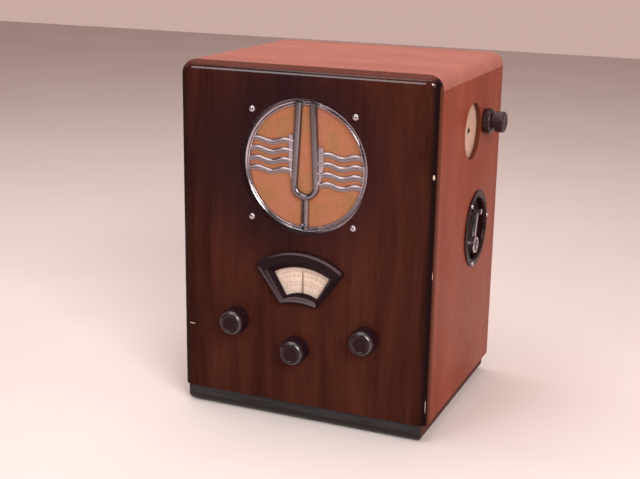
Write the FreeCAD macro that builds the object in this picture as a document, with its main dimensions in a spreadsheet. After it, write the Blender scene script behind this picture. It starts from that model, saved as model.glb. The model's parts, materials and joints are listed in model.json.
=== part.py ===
import FreeCAD, Part
import math
import os
import re

import Sketcher

# Upright wooden table radio, about 1935. Millimetres, +Z up, +X to the listener's right, front towards -Y.
# The origin is the centre of the base board's underside.

DRIVERS = {
    # cabinet
    "cabinet_width": 320,
    "cabinet_depth": 268,
    "cabinet_height": 430,
    "base_height": 23,
    "panel": 12,
    "front_panel": 15,
    "corner_radius": 17,
    "edge_radius": 11.5,
    "base_inset": 6,
    "base_round": 10,
    "rear_recess": 4,
    "cover_thick": 4,
    "cover_bottom": 72,
    "batten": 14,
    # loudspeaker
    "speaker_z": 315,
    "speaker_hole": 80,
    "grille_flange": 88,
    "flange_thick": 1.2,
    "grille_radius": 77.5,
    "grille_inner": 71.5,
    "bolt_square": 128,
    "baffle_radius": 99.5,
    "baffle_thick": 4,
    "cloth_thick": 0.8,
    # dial
    "dial_z": 124.5,
    "dial_inner": 39.5,
    "dial_outer": 71.5,
    "dial_half": 30,
    "dial_side": 7.3,
    "dial_wing": 12.6,
    "dial_foot": 5,
    "dial_brow": 19,
    "dial_rim": 2.2,
    "dial_sill": 80,
    "dial_rise": 10,
    "dial_skin": 3,
    "gear_distance": 30.1,
    "tuning_shift": -4,
    # front knobs
    "knob_radius": 16,
    "knob_depth": 22,
    "knob_gap": 0.8,
    "side_shaft_x": 83.5,
    "side_shaft_z": 120.5,
    "spindle": 3,
    # right side: indicator disc, its knob and the switch dish
    "disc_y": 6.5,
    "disc_z": 349,
    "disc_radius": 40,
    "disc_window": 34,
    "skin": 4.5,
    "drive_y": 57,
    "drive_z": 354,
    "dish_y": 40,
    "dish_z": 221,
    "dish_radius": 48.5,
    "dish_hollow": 38.8,
    "dish_depth": 9,
    "lever_y": 46,
    "lever_z": 198,
    "lever_length": 42,
    "lever_lean": 16,
    # chassis
    "deck": 66,
    "sheet": 1.2,
    "chassis_half": 133,
    "chassis_front": -98,
    "chassis_rear": 122,
}

doc = FreeCAD.newDocument("table_radio")
dims = doc.addObject("Spreadsheet::Sheet", "dims")
for row, (alias, number) in enumerate(DRIVERS.items(), start=1):
    dims.set(f"A{row}", alias)
    dims.set(f"B{row}", str(number))
    dims.setAlias(f"B{row}", alias)
doc.recompute()

nodes = {}

# ---------------------------------------------------------------- helpers


def value(expression):
    """The number that an expression of sheet names gives."""
    return float(dims.evalExpression(str(expression)))


def linked(expression):
    """The same expression as other objects of the document have to write it."""
    def full(word):
        return f"dims.{word[0]}" if word[0] in DRIVERS else word[0]

    return re.sub(r"[a-z_]{3,}", full, str(expression))


def bind(thing, name, expression):
    """Sets a size of a feature and ties it to the sheet."""
    setattr(thing, name, value(expression))
    thing.setExpression(name, linked(expression))


TURNED = {
    "+z": FreeCAD.Rotation(),
    "-y": FreeCAD.Rotation(FreeCAD.Vector(1, 0, 0), 90),
    "+y": FreeCAD.Rotation(FreeCAD.Vector(1, 0, 0), -90),
    "+x": FreeCAD.Rotation(FreeCAD.Vector(0, 1, 0), 90),
}


def place(thing, x, y, z, rotation=TURNED["+z"]):
    """Puts a feature at a point given by three expressions."""
    thing.Placement = FreeCAD.Placement(FreeCAD.Vector(value(x), value(y), value(z)), rotation)
    for letter, expression in zip("xyz", (x, y, z)):
        thing.setExpression(f"Placement.Base.{letter}", linked(expression))
    return thing


def box(x, y, z):
    """A block from three (low, high) pairs."""
    block = doc.addObject("Part::Box", "block")
    for name, (low, high) in zip(("Length", "Width", "Height"), (x, y, z)):
        bind(block, name, f"({high}) - ({low})")
    return place(block, x[0], y[0], z[0])


def cylinder(radius, length, at, axis="+z"):
    """A round bar that starts at a point and runs along one of the named directions."""
    bar = doc.addObject("Part::Cylinder", "bar")
    bind(bar, "Radius", radius)
    bind(bar, "Height", length)
    return place(bar, *at, TURNED[axis])


def fuse(pieces):
    joined = doc.addObject("Part::MultiFuse", "joined")
    joined.Shapes = pieces
    return joined


def cut(base, tools):
    tool = fuse(tools) if len(tools) > 1 else tools[0]
    less = doc.addObject("Part::Cut", "less")
    less.Base = base
    less.Tool = tool
    return less


def group(pieces):
    """Several separate solids in one node."""
    together = doc.addObject("Part::Compound", "together")
    together.Links = pieces
    return together


def node(label, thing):
    """Names a finished sub-part."""
    thing.Label = label
    nodes[label] = thing
    return thing


def body(x, y, z, axis="+z"):
    return place(doc.addObject("PartDesign::Body", "body"), x, y, z, TURNED[axis])


def sketch_on(owner, role):
    sketch = owner.newObject("Sketcher::SketchObject", "sketch")
    plane = next(feature for feature in owner.Origin.OriginFeatures if feature.Role == role)
    sketch.AttachmentSupport = (plane, [""])
    sketch.MapMode = "FlatFace"
    return sketch


def shift(sketch, letter, expression):
    """Moves a sketch along one of its own axes."""
    offset = FreeCAD.Vector()
    setattr(offset, letter, value(expression))
    sketch.AttachmentOffset = FreeCAD.Placement(offset, FreeCAD.Rotation())
    sketch.setExpression(f"AttachmentOffset.Base.{letter}", linked(expression))


def dimension(sketch, wanted):
    """Adds (kind, edge, end, expression) dimensions, measured from the sketch's origin, in one go."""
    first = sketch.ConstraintCount
    sketch.addConstraint([
        Sketcher.Constraint(kind, edge, value(expression)) if kind == "Radius"
        else Sketcher.Constraint(kind, -1, 1, edge, end, value(expression))
        for kind, edge, end, expression in wanted
    ])
    for index, (kind, edge, end, expression) in enumerate(wanted, start=first):
        if linked(expression) != str(expression):
            sketch.setExpression(f"Constraints[{index}]", linked(expression))


def arc_middle(start, end, radius):
    """The middle of an arc that bulges to the right of the way from start to end when radius is positive."""
    chord = end - start
    half = chord.Length / 2
    size = max(abs(radius), half)
    rise = size - math.sqrt(size * size - half * half)
    right = FreeCAD.Vector(chord.y, -chord.x, 0).normalize()
    return (start + end) / 2 + right * math.copysign(rise, radius)


def outline(sketch, points):
    """A closed outline. A point (u, v) is reached by a straight line, and (u, v, radius) by an arc."""
    places = [FreeCAD.Vector(value(point[0]), value(point[1]), 0) for point in points]
    shapes = []
    for here, point in enumerate(points):
        start = places[here - 1]
        end = places[here]
        if len(point) == 3:
            shapes.append(Part.Arc(start, arc_middle(start, end, value(point[2])), end))
        else:
            shapes.append(Part.LineSegment(start, end))
    edges = sketch.addGeometry(shapes)

    def end_at(edge, where):
        # an arc drawn clockwise is stored the other way round, so its ends are looked up by place
        return 1 if sketch.getPoint(edge, 1).distanceToPoint(where) < 1e-4 else 2

    joins = []
    sizes = []
    for here, edge in enumerate(edges):
        before = edges[here - 1]
        corner = places[here - 1]
        ends = (before, end_at(before, corner), edge, end_at(edge, corner))
        joins.append(Sketcher.Constraint("Coincident", *ends))
        sizes.append(("DistanceX", edge, end_at(edge, places[here]), points[here][0]))
        sizes.append(("DistanceY", edge, end_at(edge, places[here]), points[here][1]))
    sketch.addConstraint(joins)
    dimension(sketch, sizes)


def circle(sketch, u, v, radius):
    middle = FreeCAD.Vector(value(u), value(v), 0)
    edge = sketch.addGeometry(Part.Circle(middle, FreeCAD.Vector(0, 0, 1), value(radius)))
    dimension(sketch, [("DistanceX", edge, 3, u), ("DistanceY", edge, 3, v), ("Radius", edge, 0, radius)])


def fan(sketch, inner, outer, border, wing=None, sill=None):
    """A sector about the sketch's origin: border and wing are how far its sides stand off the dial's own,
    below and above, and sill is the radius of its lower edge where that is flatter than the sector's."""
    low = f"(dial_half * 1 deg + asin(({border}) / ({inner})))"
    high = f"(dial_half * 1 deg + asin(({wing or border}) / ({outer})))"
    outline(sketch, [
        (f"-({inner}) * sin{low}", f"({inner}) * cos{low}"),
        (f"({inner}) * sin{low}", f"({inner}) * cos{low}", f"-({sill or inner})"),
        (f"({outer}) * sin{high}", f"({outer}) * cos{high}"),
        (f"-({outer}) * sin{high}", f"({outer}) * cos{high}", outer),
    ])


def pad(owner, sketch, length, backwards=False):
    feature = owner.newObject("PartDesign::Pad", "pad")
    feature.Profile = sketch
    feature.Reversed = backwards
    bind(feature, "Length", length)
    return feature


def pocket(owner, sketch, depth, forwards=True):
    """Cuts along the sketch's own normal, or against it, and makes sure that it cuts something."""
    doc.recompute()
    before = owner.Shape.Volume
    feature = owner.newObject("PartDesign::Pocket", "pocket")
    feature.Profile = sketch
    feature.Reversed = forwards
    bind(feature, "Length", depth)
    doc.recompute()
    if owner.Shape.Volume > before - 1e-6:
        raise RuntimeError(f"{owner.Name}: a pocket cut nothing")
    return feature


def round_edges(owner, base, radius, chosen):
    """Rounds those edges of a feature for which chosen(edge) is true."""
    doc.recompute()
    names = [f"Edge{n}" for n, edge in enumerate(base.Shape.Edges, start=1) if chosen(edge)]
    feature = owner.newObject("PartDesign::Fillet", "rounded")
    feature.Base = (base, names)
    bind(feature, "Radius", radius)
    return feature


def dome(radius, height):
    """Radius of the sphere whose cap has this base radius and height."""
    return (radius * radius + height * height) / (2 * height)


def lathe(profile, at, axis="+z"):
    """A turned piece. The profile's points are (radius, height), and height runs along the axis."""
    turned = body(*at, axis)
    sketch = sketch_on(turned, "XZ_Plane")
    outline(sketch, profile)
    feature = turned.newObject("PartDesign::Revolution", "turned")
    feature.Profile = sketch
    feature.ReferenceAxis = (sketch, ["V_Axis"])
    feature.Angle = 360
    return turned


FRONT = "-cabinet_depth / 2"
REAR = "cabinet_depth / 2"
HALF = "cabinet_width / 2"
INSIDE = "(cabinet_width / 2 - panel)"
PANEL_BACK = "(front_panel - cabinet_depth / 2)"
CLOTH_BACK = f"({PANEL_BACK} - baffle_thick)"
CLOTH_FRONT = f"({CLOTH_BACK} - cloth_thick)"
SHAFT_Z = "(dial_z - sqrt(gear_distance ^ 2 - tuning_shift ^ 2))"
BOLTS = [(sx, sz) for sx in (-1, 1) for sz in (-1, 1)]
DISH_SCREWS = [
    (f"dish_y + (dish_radius - 3.8) * cos({angle})", f"dish_z + (dish_radius - 3.8) * sin({angle})")
    for angle in (130, 250, 10)
]

# ---------------------------------------------------------------- cabinet

COVER_SCREWS = [(side, height) for side in (-1, 1) for height in (90, 240, 395)]
COVER_SCREW_X = "(cabinet_width / 2 - panel - batten / 2)"
COVER_FACE = "(cabinet_depth / 2 - rear_recess)"


def front_panel():
    """Veneered board with rounded front edges, routed out behind the loudspeaker and the dial."""
    panel = body(0, PANEL_BACK, 0)
    sketch = sketch_on(panel, "XZ_Plane")
    outline(sketch, [
        (f"-{HALF}", "base_height"),
        (HALF, "base_height"),
        (HALF, "cabinet_height - corner_radius"),
        (f"{HALF} - corner_radius", "cabinet_height", "corner_radius"),
        (f"-{HALF} + corner_radius", "cabinet_height"),
        (f"-{HALF}", "cabinet_height - corner_radius", "corner_radius"),
    ])
    board = pad(panel, sketch, "front_panel")
    face = value("-front_panel")

    def at_front(edge):
        bounds = edge.BoundBox
        return bounds.YMax < face + 0.01 and bounds.ZMax > value("base_height") + 0.01

    round_edges(panel, board, "edge_radius", at_front)
    through = sketch_on(panel, "XZ_Plane")
    circle(through, 0, "speaker_z", "speaker_hole")
    for sx, sz in BOLTS:
        circle(through, f"{sx} * bolt_square / 2", f"speaker_z + {sz} * bolt_square / 2", 2.1)
    circle(through, "tuning_shift", SHAFT_Z, "spindle + 0.5")
    for side in (-1, 1):
        circle(through, f"{side} * side_shaft_x", "side_shaft_z", 4.9)
    pocket(panel, through, "front_panel + 1")
    seat = sketch_on(panel, "XZ_Plane")
    circle(seat, 0, "speaker_z", "baffle_radius + 0.5")
    pocket(panel, seat, "baffle_thick + cloth_thick + flange_thick")
    well = sketch_on(panel, "XZ_Plane")
    outline(well, well_outline(84, 58, 34, 84))
    pocket(panel, well, "front_panel - dial_skin")
    opening = sketch_on(panel, "XZ_Plane")
    shift(opening, "y", "dial_z")
    fan(opening, "dial_inner - 2.7", "dial_outer + 2.7", 2.7)
    pocket(panel, opening, "front_panel + 1")
    node("front_panel", panel)


def well_outline(arc, half_top, half_bottom, bottom):
    """The routed well behind the dial: a trapezium whose top is an arc about the dial's centre."""
    shoulder = f"dial_z + sqrt({arc} ^ 2 - {half_top} ^ 2)"
    return [
        (-half_bottom, bottom),
        (half_bottom, bottom),
        (half_top, shoulder),
        (-half_top, shoulder, arc),
    ]


def side_panels():
    top = "cabinet_height - corner_radius"
    node("left_side_panel", box((f"-{HALF}", f"-{INSIDE}"), (PANEL_BACK, REAR), ("base_height", top)))
    panel = body(INSIDE, 0, 0)
    sketch = sketch_on(panel, "YZ_Plane")
    outline(sketch, [(PANEL_BACK, "base_height"), (REAR, "base_height"), (REAR, top), (PANEL_BACK, top)])
    pad(panel, sketch, "panel")
    through = sketch_on(panel, "YZ_Plane")
    circle(through, "disc_y", "disc_z", "disc_window")
    circle(through, "drive_y", "drive_z", "spindle + 1.2")
    circle(through, "dish_y", "dish_z", "dish_hollow + 2.2")
    for y, z in DISH_SCREWS:
        circle(through, y, z, 1.5)
    pocket(panel, through, "panel + 1")
    recess = sketch_on(panel, "YZ_Plane")
    circle(recess, "disc_y", "disc_z", "disc_radius + 1.2")
    pocket(panel, recess, "panel - skin")
    roller_room = sketch_on(panel, "YZ_Plane")
    circle(roller_room, "drive_y", "drive_z", 13.6)
    pocket(panel, roller_room, "panel - skin")
    node("right_side_panel", panel)


def top_of_cabinet():
    flat = f"({HALF} - corner_radius)"
    under = "cabinet_height - panel"
    node("top_panel", box((f"-{flat}", flat), (PANEL_BACK, REAR), (under, "cabinet_height")))
    mouldings = body(0, REAR, 0)
    sketch = sketch_on(mouldings, "XZ_Plane")
    foot = "cabinet_height - corner_radius"
    outline(sketch, [(flat, foot), (HALF, foot), (flat, "cabinet_height", "corner_radius")])
    outline(sketch, [(f"-{flat}", foot), (f"-{flat}", "cabinet_height"), (f"-{HALF}", foot, "corner_radius")])
    pad(mouldings, sketch, f"{REAR} - {PANEL_BACK}")
    node("top_corner_mouldings", mouldings)


CHASSIS_BOLT_ROWS = ("chassis_front - 4", "chassis_rear - 8")
CHASSIS_BOLTS = [(x, y) for x in (-110, 110) for y in CHASSIS_BOLT_ROWS]


def base_board():
    """Ebonised board that the cabinet stands on, with a rounded lower edge."""
    board = body(0, 0, 0)
    sketch = sketch_on(board, "XY_Plane")
    side = f"({HALF} - base_inset)"
    front = f"{FRONT} + 3.5"
    rear = f"{REAR} - 3"
    outline(sketch, [(f"-{side}", front), (side, front), (side, rear), (f"-{side}", rear)])
    block = pad(board, sketch, "base_height")

    def lower(edge):
        bounds = edge.BoundBox
        return bounds.ZMax < 0.01 and bounds.YMin < value(rear) - 0.01

    rounded = round_edges(board, block, "base_round", lower)
    board.Tip = rounded
    bolts = sketch_on(board, "XY_Plane")
    for x, y in CHASSIS_BOLTS:
        circle(bolts, x, y, 2.1)
    pocket(board, bolts, "base_height + 1")
    heads = sketch_on(board, "XY_Plane")
    for x, y in CHASSIS_BOLTS:
        circle(heads, x, y, 5)
    pocket(board, heads, 6)
    node("base_board", board)


def battens():
    """Strips behind the front corners and round the back, glued to the panels."""
    high = "cabinet_height - corner_radius - 2"
    strips = []
    for side in (-1, 1):
        inner = f"{side} * ({INSIDE} - batten)"
        edge = f"{side} * {INSIDE}"
        ends = (edge, inner) if side < 0 else (inner, edge)
        cover_back = f"{COVER_FACE} - cover_thick"
        strips.append(box(ends, (PANEL_BACK, f"{PANEL_BACK} + batten"), ("base_height", high)))
        strips.append(box(ends, (f"{cover_back} - batten", cover_back), ("cover_bottom", high)))
    screws = [
        cylinder(1.7, 20, (f"{side} * {COVER_SCREW_X}", f"{COVER_FACE} - 12", height), "+y")
        for side, height in COVER_SCREWS
    ]
    node("cabinet_battens", cut(group(strips), screws))


def rear_cover():
    """Fibre board with rows of ventilation slots, screwed on inside the rear edges."""
    cover = body(0, COVER_FACE, 0)
    sketch = sketch_on(cover, "XZ_Plane")
    side = f"({INSIDE} - 0.5)"
    shoulder = "cabinet_height - corner_radius - 0.5"
    neck = f"({HALF} - corner_radius - 0.5)"
    top = "cabinet_height - panel - 0.5"
    outline(sketch, [
        (f"-{side}", "cover_bottom"),
        (side, "cover_bottom"),
        (side, shoulder),
        (neck, shoulder),
        (neck, top),
        (f"-{neck}", top),
        (f"-{neck}", shoulder),
        (f"-{side}", shoulder),
    ])
    pad(cover, sketch, "cover_thick")
    screws = sketch_on(cover, "XZ_Plane")
    for side, height in COVER_SCREWS:
        circle(screws, f"{side} * {COVER_SCREW_X}", height, 2)
    pocket(cover, screws, "cover_thick + 1")
    slots = sketch_on(cover, "XZ_Plane")
    length = 32
    half = 3
    for column in range(-2, 3):
        for row in range(11):
            x = column * 46
            z = 105 + row * 14 + (66 if row > 4 else 0)
            outline(slots, [
                (x + length / 2, z - half),
                (x + length / 2, z + half, half),
                (x - length / 2, z + half),
                (x - length / 2, z - half, half),
            ])
    pocket(cover, slots, "cover_thick + 1")
    node("rear_cover", cover)
    node("cover_screws", group([
        lathe([(0, -12), (1.7, -12), (1.7, 0), (4, 0), (4, 0.8), (0, 2.4, dome(4, 1.6))],
              (f"{side} * {COVER_SCREW_X}", COVER_FACE, height), "+y")
        for side, height in COVER_SCREWS
    ]))


# ---------------------------------------------------------------- loudspeaker and its grille

WAVE_LENGTH = 35
WAVE_CREST = 27
WAVE_HEIGHT = 1.8
BAR_HALF = 2
BAR_PITCH = 11.6
BARS_A_SIDE = 4
LOOP_LOW = -22
LOOP_OUT = 17.5
LOOP_IN = 10
SKIRT_OUT = 22


def wave(start, end, level, side):
    """A wavy curve across one side of the grille, from a distance off its middle to another."""
    steps = 24
    points = []
    for step in range(steps + 1):
        out = start + (end - start) * step / steps
        rise = WAVE_HEIGHT * math.cos(2 * math.pi * (out - WAVE_CREST) / WAVE_LENGTH)
        points.append(FreeCAD.Vector(side * out, level + rise, 0))
    curve = Part.BSplineCurve()
    curve.interpolate(points)
    return curve, points[0], points[-1]


def speaker_grille():
    """Nickel-plated casting at the bottom of the hole: a raised ring, a tall tapered loop and wavy bars."""
    grille = body(0, CLOTH_FRONT, "speaker_z", "-y")
    ring = sketch_on(grille, "XZ_Plane")
    outline(ring, [
        ("grille_inner", 0),
        ("grille_flange", 0),
        ("grille_flange", "flange_thick"),
        ("grille_radius", "flange_thick"),
        ("grille_radius", "flange_thick + 1"),
        ("grille_radius - 1.2", "flange_thick + 2"),
        ("grille_inner + 2", "flange_thick + 2"),
        ("grille_inner", "flange_thick + 0.6"),
    ])
    rim = grille.newObject("PartDesign::Revolution", "rim")
    rim.Profile = ring
    rim.ReferenceAxis = (ring, ["V_Axis"])
    rim.Angle = 360
    loop = sketch_on(grille, "XY_Plane")
    top = "grille_radius - 3"
    outline(loop, [
        (-13, top),
        (-LOOP_OUT, LOOP_LOW),
        (LOOP_OUT, LOOP_LOW, LOOP_OUT),
        (13, top),
        (4.6, top),
        (LOOP_IN, LOOP_LOW),
        (-LOOP_IN, LOOP_LOW, -LOOP_IN),
        (-4.6, top),
    ])
    pad(grille, loop, 5.4)
    skirt = sketch_on(grille, "XY_Plane")
    outline(skirt, [
        (-SKIRT_OUT, 36),
        (-SKIRT_OUT, 0),
        (-LOOP_OUT, LOOP_LOW),
        (LOOP_OUT, LOOP_LOW, LOOP_OUT),
        (SKIRT_OUT, 0),
        (SKIRT_OUT, 24),
        (LOOP_OUT - 5, 24),
        (LOOP_OUT - 4, LOOP_LOW),
        (4 - LOOP_OUT, LOOP_LOW, 4 - LOOP_OUT),
        (6 - LOOP_OUT, 36),
    ])
    pad(grille, skirt, 2)
    stem = sketch_on(grille, "XY_Plane")
    stem_low = "3 - grille_radius"
    stem_top = LOOP_LOW - LOOP_OUT + 1
    outline(stem, [(-4, stem_low), (4, stem_low), (4, stem_top), (-4, stem_top)])
    pad(grille, stem, 4.6)
    bars = sketch_on(grille, "XY_Plane")
    for side, highest in ((-1, 30), (1, 18)):
        for bar in range(BARS_A_SIDE):
            level = highest - bar * BAR_PITCH
            reach = math.sqrt(value("grille_inner + 3") ** 2 - (abs(level) + BAR_HALF + WAVE_HEIGHT) ** 2)
            lower, low_start, low_end = wave(14, reach, level - BAR_HALF, side)
            upper, high_start, high_end = wave(14, reach, level + BAR_HALF, side)
            ends = [Part.LineSegment(low_start, high_start), Part.LineSegment(low_end, high_end)]
            bars.addGeometry([lower, upper] + ends)
    pad(grille, bars, 3)
    node("speaker_grille", grille)


FLANGE = PANEL_BACK


def loudspeaker():
    node("grille_cloth", cylinder("grille_flange", "cloth_thick", (0, CLOTH_FRONT, "speaker_z"), "+y"))
    before = f"{CLOTH_BACK} - 1"
    holes = [cylinder("grille_inner + 4.4", "baffle_thick + 2", (0, before, "speaker_z"), "+y")]
    for sx, sz in BOLTS:
        at = (f"{sx} * bolt_square / 2", before, f"speaker_z + {sz} * bolt_square / 2")
        holes.append(cylinder(2.1, "baffle_thick + 2", at, "+y"))
    board = cylinder("baffle_radius", "baffle_thick", (0, CLOTH_BACK, "speaker_z"), "+y")
    node("baffle_board", cut(board, holes))

    basket = lathe([
        (77.5, 0), (98, 0), (98, 1.4), (79, 1.4), (79, 9), (45.5, 46), (45.5, 48),
        (21, 48), (21, 46.6), (44.1, 46.6), (44.1, 45.4), (77.5, 8.4),
    ], (0, FLANGE, "speaker_z"), "+y")
    openings = sketch_on(basket, "XY_Plane")
    for quarter in range(4):
        window_corners(openings, 50, 74, 90 * quarter, 28)
    pocket(basket, openings, 60)
    bolts = sketch_on(basket, "XY_Plane")
    for sx, sz in BOLTS:
        circle(bolts, f"{sx} * bolt_square / 2", f"{sz} * bolt_square / 2", 2)
    pocket(basket, bolts, 3)
    node("speaker_basket", basket)

    node("speaker_cone", lathe([
        (77.4, 1), (77.4, 1.8), (72, 1.8), (70, 3.4), (20.8, 36.8),
        (19.9, 36.8), (19.9, 36), (69.4, 2.4), (71.6, 1),
    ], (0, FLANGE, "speaker_z"), "+y"))
    node("voice_coil", lathe([(19, 30), (19.9, 30), (19.9, 54), (19, 54)], (0, FLANGE, "speaker_z"), "+y"))
    node("speaker_magnet", lathe([
        (0, 40), (18.2, 40), (18.2, 56), (20.8, 56), (20.8, 48),
        (38, 48), (40, 50), (40, 98), (38, 100), (0, 100),
    ], (0, FLANGE, "speaker_z"), "+y"))
    node("speaker_bolts", group([
        lathe([(0, -24), (2, -24), (2, 0), (4.2, 0), (0, 3.2, dome(4.2, 3.2))],
              (f"{sx} * bolt_square / 2", FRONT, f"speaker_z + {sz} * bolt_square / 2"), "-y")
        for sx, sz in BOLTS
    ]))


def window_corners(sketch, inner, outer, middle, half):
    """One sector-shaped window about the sketch's origin."""
    low, high = middle - half, middle + half
    outline(sketch, [
        (f"{outer} * cos({low})", f"{outer} * sin({low})"),
        (f"{outer} * cos({high})", f"{outer} * sin({high})", outer),
        (f"{inner} * cos({high})", f"{inner} * sin({high})"),
        (f"{inner} * cos({low})", f"{inner} * sin({low})", -inner),
    ])


# ---------------------------------------------------------------- dial

WINDOW_Y = f"({FRONT} + dial_skin)"
POINTER_Y = f"({WINDOW_Y} + 1.4)"
SCALE_Y = f"({WINDOW_Y} + 2.8)"
PLATE_Y = f"({WINDOW_Y} + 3.2)"
PLATE_THICK = 1.2
PILLARS = [(-50, 182), (50, 182), (-28, 90), (28, 90)]


def dial():
    escutcheon = body(0, FRONT, "dial_z", "-y")
    border = sketch_on(escutcheon, "XY_Plane")
    fan(border, "dial_inner - dial_foot", "dial_outer + dial_brow", "dial_side", "dial_wing", "dial_sill")
    block = pad(escutcheon, border, "dial_rise")
    rise = value("dial_rise")
    upper = round_edges(escutcheon, block, 4, lambda edge: edge.BoundBox.ZLength > rise - 0.01
                        and abs(edge.BoundBox.XMin) > value("dial_inner"))
    rim = round_edges(escutcheon, upper, 1, lambda edge: edge.BoundBox.ZMin > rise - 0.01)
    escutcheon.Tip = rim
    collar = sketch_on(escutcheon, "XY_Plane")
    fan(collar, "dial_inner - 2.5", "dial_outer + 2.5", 2.5)
    pad(escutcheon, collar, "dial_skin - 0.4", backwards=True)
    mouth = sketch_on(escutcheon, "XY_Plane")
    shift(mouth, "z", "dial_rise")
    fan(mouth, "dial_inner - dial_foot + dial_rim", "dial_outer + dial_brow - dial_rim",
        "dial_side - dial_rim", "dial_wing - dial_rim", "dial_sill")
    throat = sketch_on(escutcheon, "XY_Plane")
    shift(throat, "z", 0.6)
    fan(throat, "dial_inner", "dial_outer", 0.01)
    funnel = escutcheon.newObject("PartDesign::SubtractiveLoft", "funnel")
    funnel.Profile = mouth
    funnel.Sections = [throat]
    funnel.Ruled = True
    opening = sketch_on(escutcheon, "XY_Plane")
    shift(opening, "z", "-dial_skin")
    fan(opening, "dial_inner", "dial_outer", 0.01)
    pocket(escutcheon, opening, "dial_rise + dial_skin + 1")
    node("dial_escutcheon", escutcheon)

    window = body(0, f"{WINDOW_Y} + 0.8", "dial_z", "-y")
    pane = sketch_on(window, "XY_Plane")
    fan(pane, "dial_inner - 5.5", "dial_outer + 5.5", 5.5)
    pad(window, pane, 0.8)
    node("dial_window", window)

    card = body(0, PLATE_Y, "dial_z", "-y")
    sheet = sketch_on(card, "XY_Plane")
    fan(sheet, "dial_inner - 4", "dial_outer + 4", 4)
    pad(card, sheet, 0.4)
    node("dial_scale", card)

    plate = body(0, f"{PLATE_Y} + {PLATE_THICK}", 0)
    sheet = sketch_on(plate, "XZ_Plane")
    outline(sheet, well_outline(82, 56.3, 32, 86))
    pad(plate, sheet, PLATE_THICK)
    holes = sketch_on(plate, "XZ_Plane")
    circle(holes, "tuning_shift", SHAFT_Z, 6.8)
    for x, z in PILLARS:
        circle(holes, x, z, 1.5)
    pocket(plate, holes, 3)
    light = sketch_on(plate, "XZ_Plane")
    shift(light, "y", "dial_z")
    fan(light, "dial_inner + 3", "dial_outer - 3", 0.01)
    pocket(plate, light, 3)
    stud = sketch_on(plate, "XZ_Plane")
    circle(stud, 0, "dial_z", 2)
    pad(plate, stud, PLATE_THICK + 2.8)
    node("dial_plate", plate)
    pillar = [(0, 0), (2.4, 0), (2.4, 3.2), (1.5, 3.2), (1.5, 4.4), (2.8, 4.4), (2.8, 6), (0, 6)]
    node("dial_pillars", group([lathe(pillar, (x, WINDOW_Y, z), "+y") for x, z in PILLARS]))


GEAR_MODULE = 1.0
PRESSURE_ANGLE = math.radians(20)
PINION_TEETH = 15
WHEEL_TEETH = 45
ADDENDUM = 0.85
DEDENDUM = 1.15
BACKLASH = 0.12


def tooth_outline(teeth, first, count):
    """Points round a run of gear teeth, the first of them centred on the angle given, in radians."""
    pitch = GEAR_MODULE * teeth / 2
    base = pitch * math.cos(PRESSURE_ANGLE)
    tip = pitch + ADDENDUM * GEAR_MODULE
    root = pitch - DEDENDUM * GEAR_MODULE
    involute = math.tan(PRESSURE_ANGLE) - PRESSURE_ANGLE
    half = math.pi / teeth / 2 - BACKLASH / pitch / 2 + involute
    flank = [(root, half)]
    steps = 4
    for step in range(steps + 1):
        radius = max(base, root) + (tip - max(base, root)) * step / steps
        roll = math.acos(min(1, base / radius))
        flank.append((radius, half - (math.tan(roll) - roll)))
    points = []
    for number in range(count):
        middle = first + 2 * math.pi * number / teeth
        points += [(radius, middle - turn) for radius, turn in flank]
        points += [(radius, middle + turn) for radius, turn in reversed(flank)]
    return [FreeCAD.Vector(radius * math.cos(angle), radius * math.sin(angle), 0) for radius, angle in points]


def plate_of(points, thick):
    wire = Part.makePolygon(points + [points[0]])
    return Part.Face(wire).extrude(FreeCAD.Vector(0, 0, thick))


def gears():
    """Pinion on the tuning spindle, and the toothed sector that carries the pointer, in mesh at rest."""
    shift = value("tuning_shift")
    drop = value(f"dial_z - {SHAFT_Z}")
    towards = math.atan2(-drop, shift)
    disc = plate_of(tooth_outline(PINION_TEETH, towards + math.pi, PINION_TEETH), 1.4)
    boss = Part.makeCylinder(6, 4.6, FreeCAD.Vector(0, 0, -3.2))
    bore = Part.makeCylinder(value("spindle"), 20, FreeCAD.Vector(0, 0, -10))
    pinion = doc.addObject("Part::Feature", "pinion")
    pinion.Shape = disc.fuse(boss).cut(bore).removeSplitter()
    place(pinion, "tuning_shift", f"{POINTER_Y} + 0.4", SHAFT_Z, TURNED["-y"])
    node("tuning_pinion", pinion)

    count = 17
    gap = math.pi / WHEEL_TEETH
    first = towards - gap - (count // 2) * 2 * gap
    rim = tooth_outline(WHEEL_TEETH, first, count + 1)
    sector = plate_of([FreeCAD.Vector(0, 0, 0)] + rim, 1.2)
    hub = Part.makeCylinder(6, 1.2)
    arm = plate_of([
        FreeCAD.Vector(-2.2, 0, 0), FreeCAD.Vector(2.2, 0, 0),
        FreeCAD.Vector(0.7, value("dial_outer - 6"), 0), FreeCAD.Vector(-0.7, value("dial_outer - 6"), 0),
    ], 0.6)
    hole = Part.makeCylinder(2.06, 4, FreeCAD.Vector(0, 0, -1))
    pointer = doc.addObject("Part::Feature", "pointer")
    pointer.Shape = sector.fuse([hub, arm]).cut(hole).removeSplitter()
    place(pointer, 0, f"{POINTER_Y} + 0.6", "dial_z", TURNED["-y"])
    node("dial_pointer", pointer)


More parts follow.
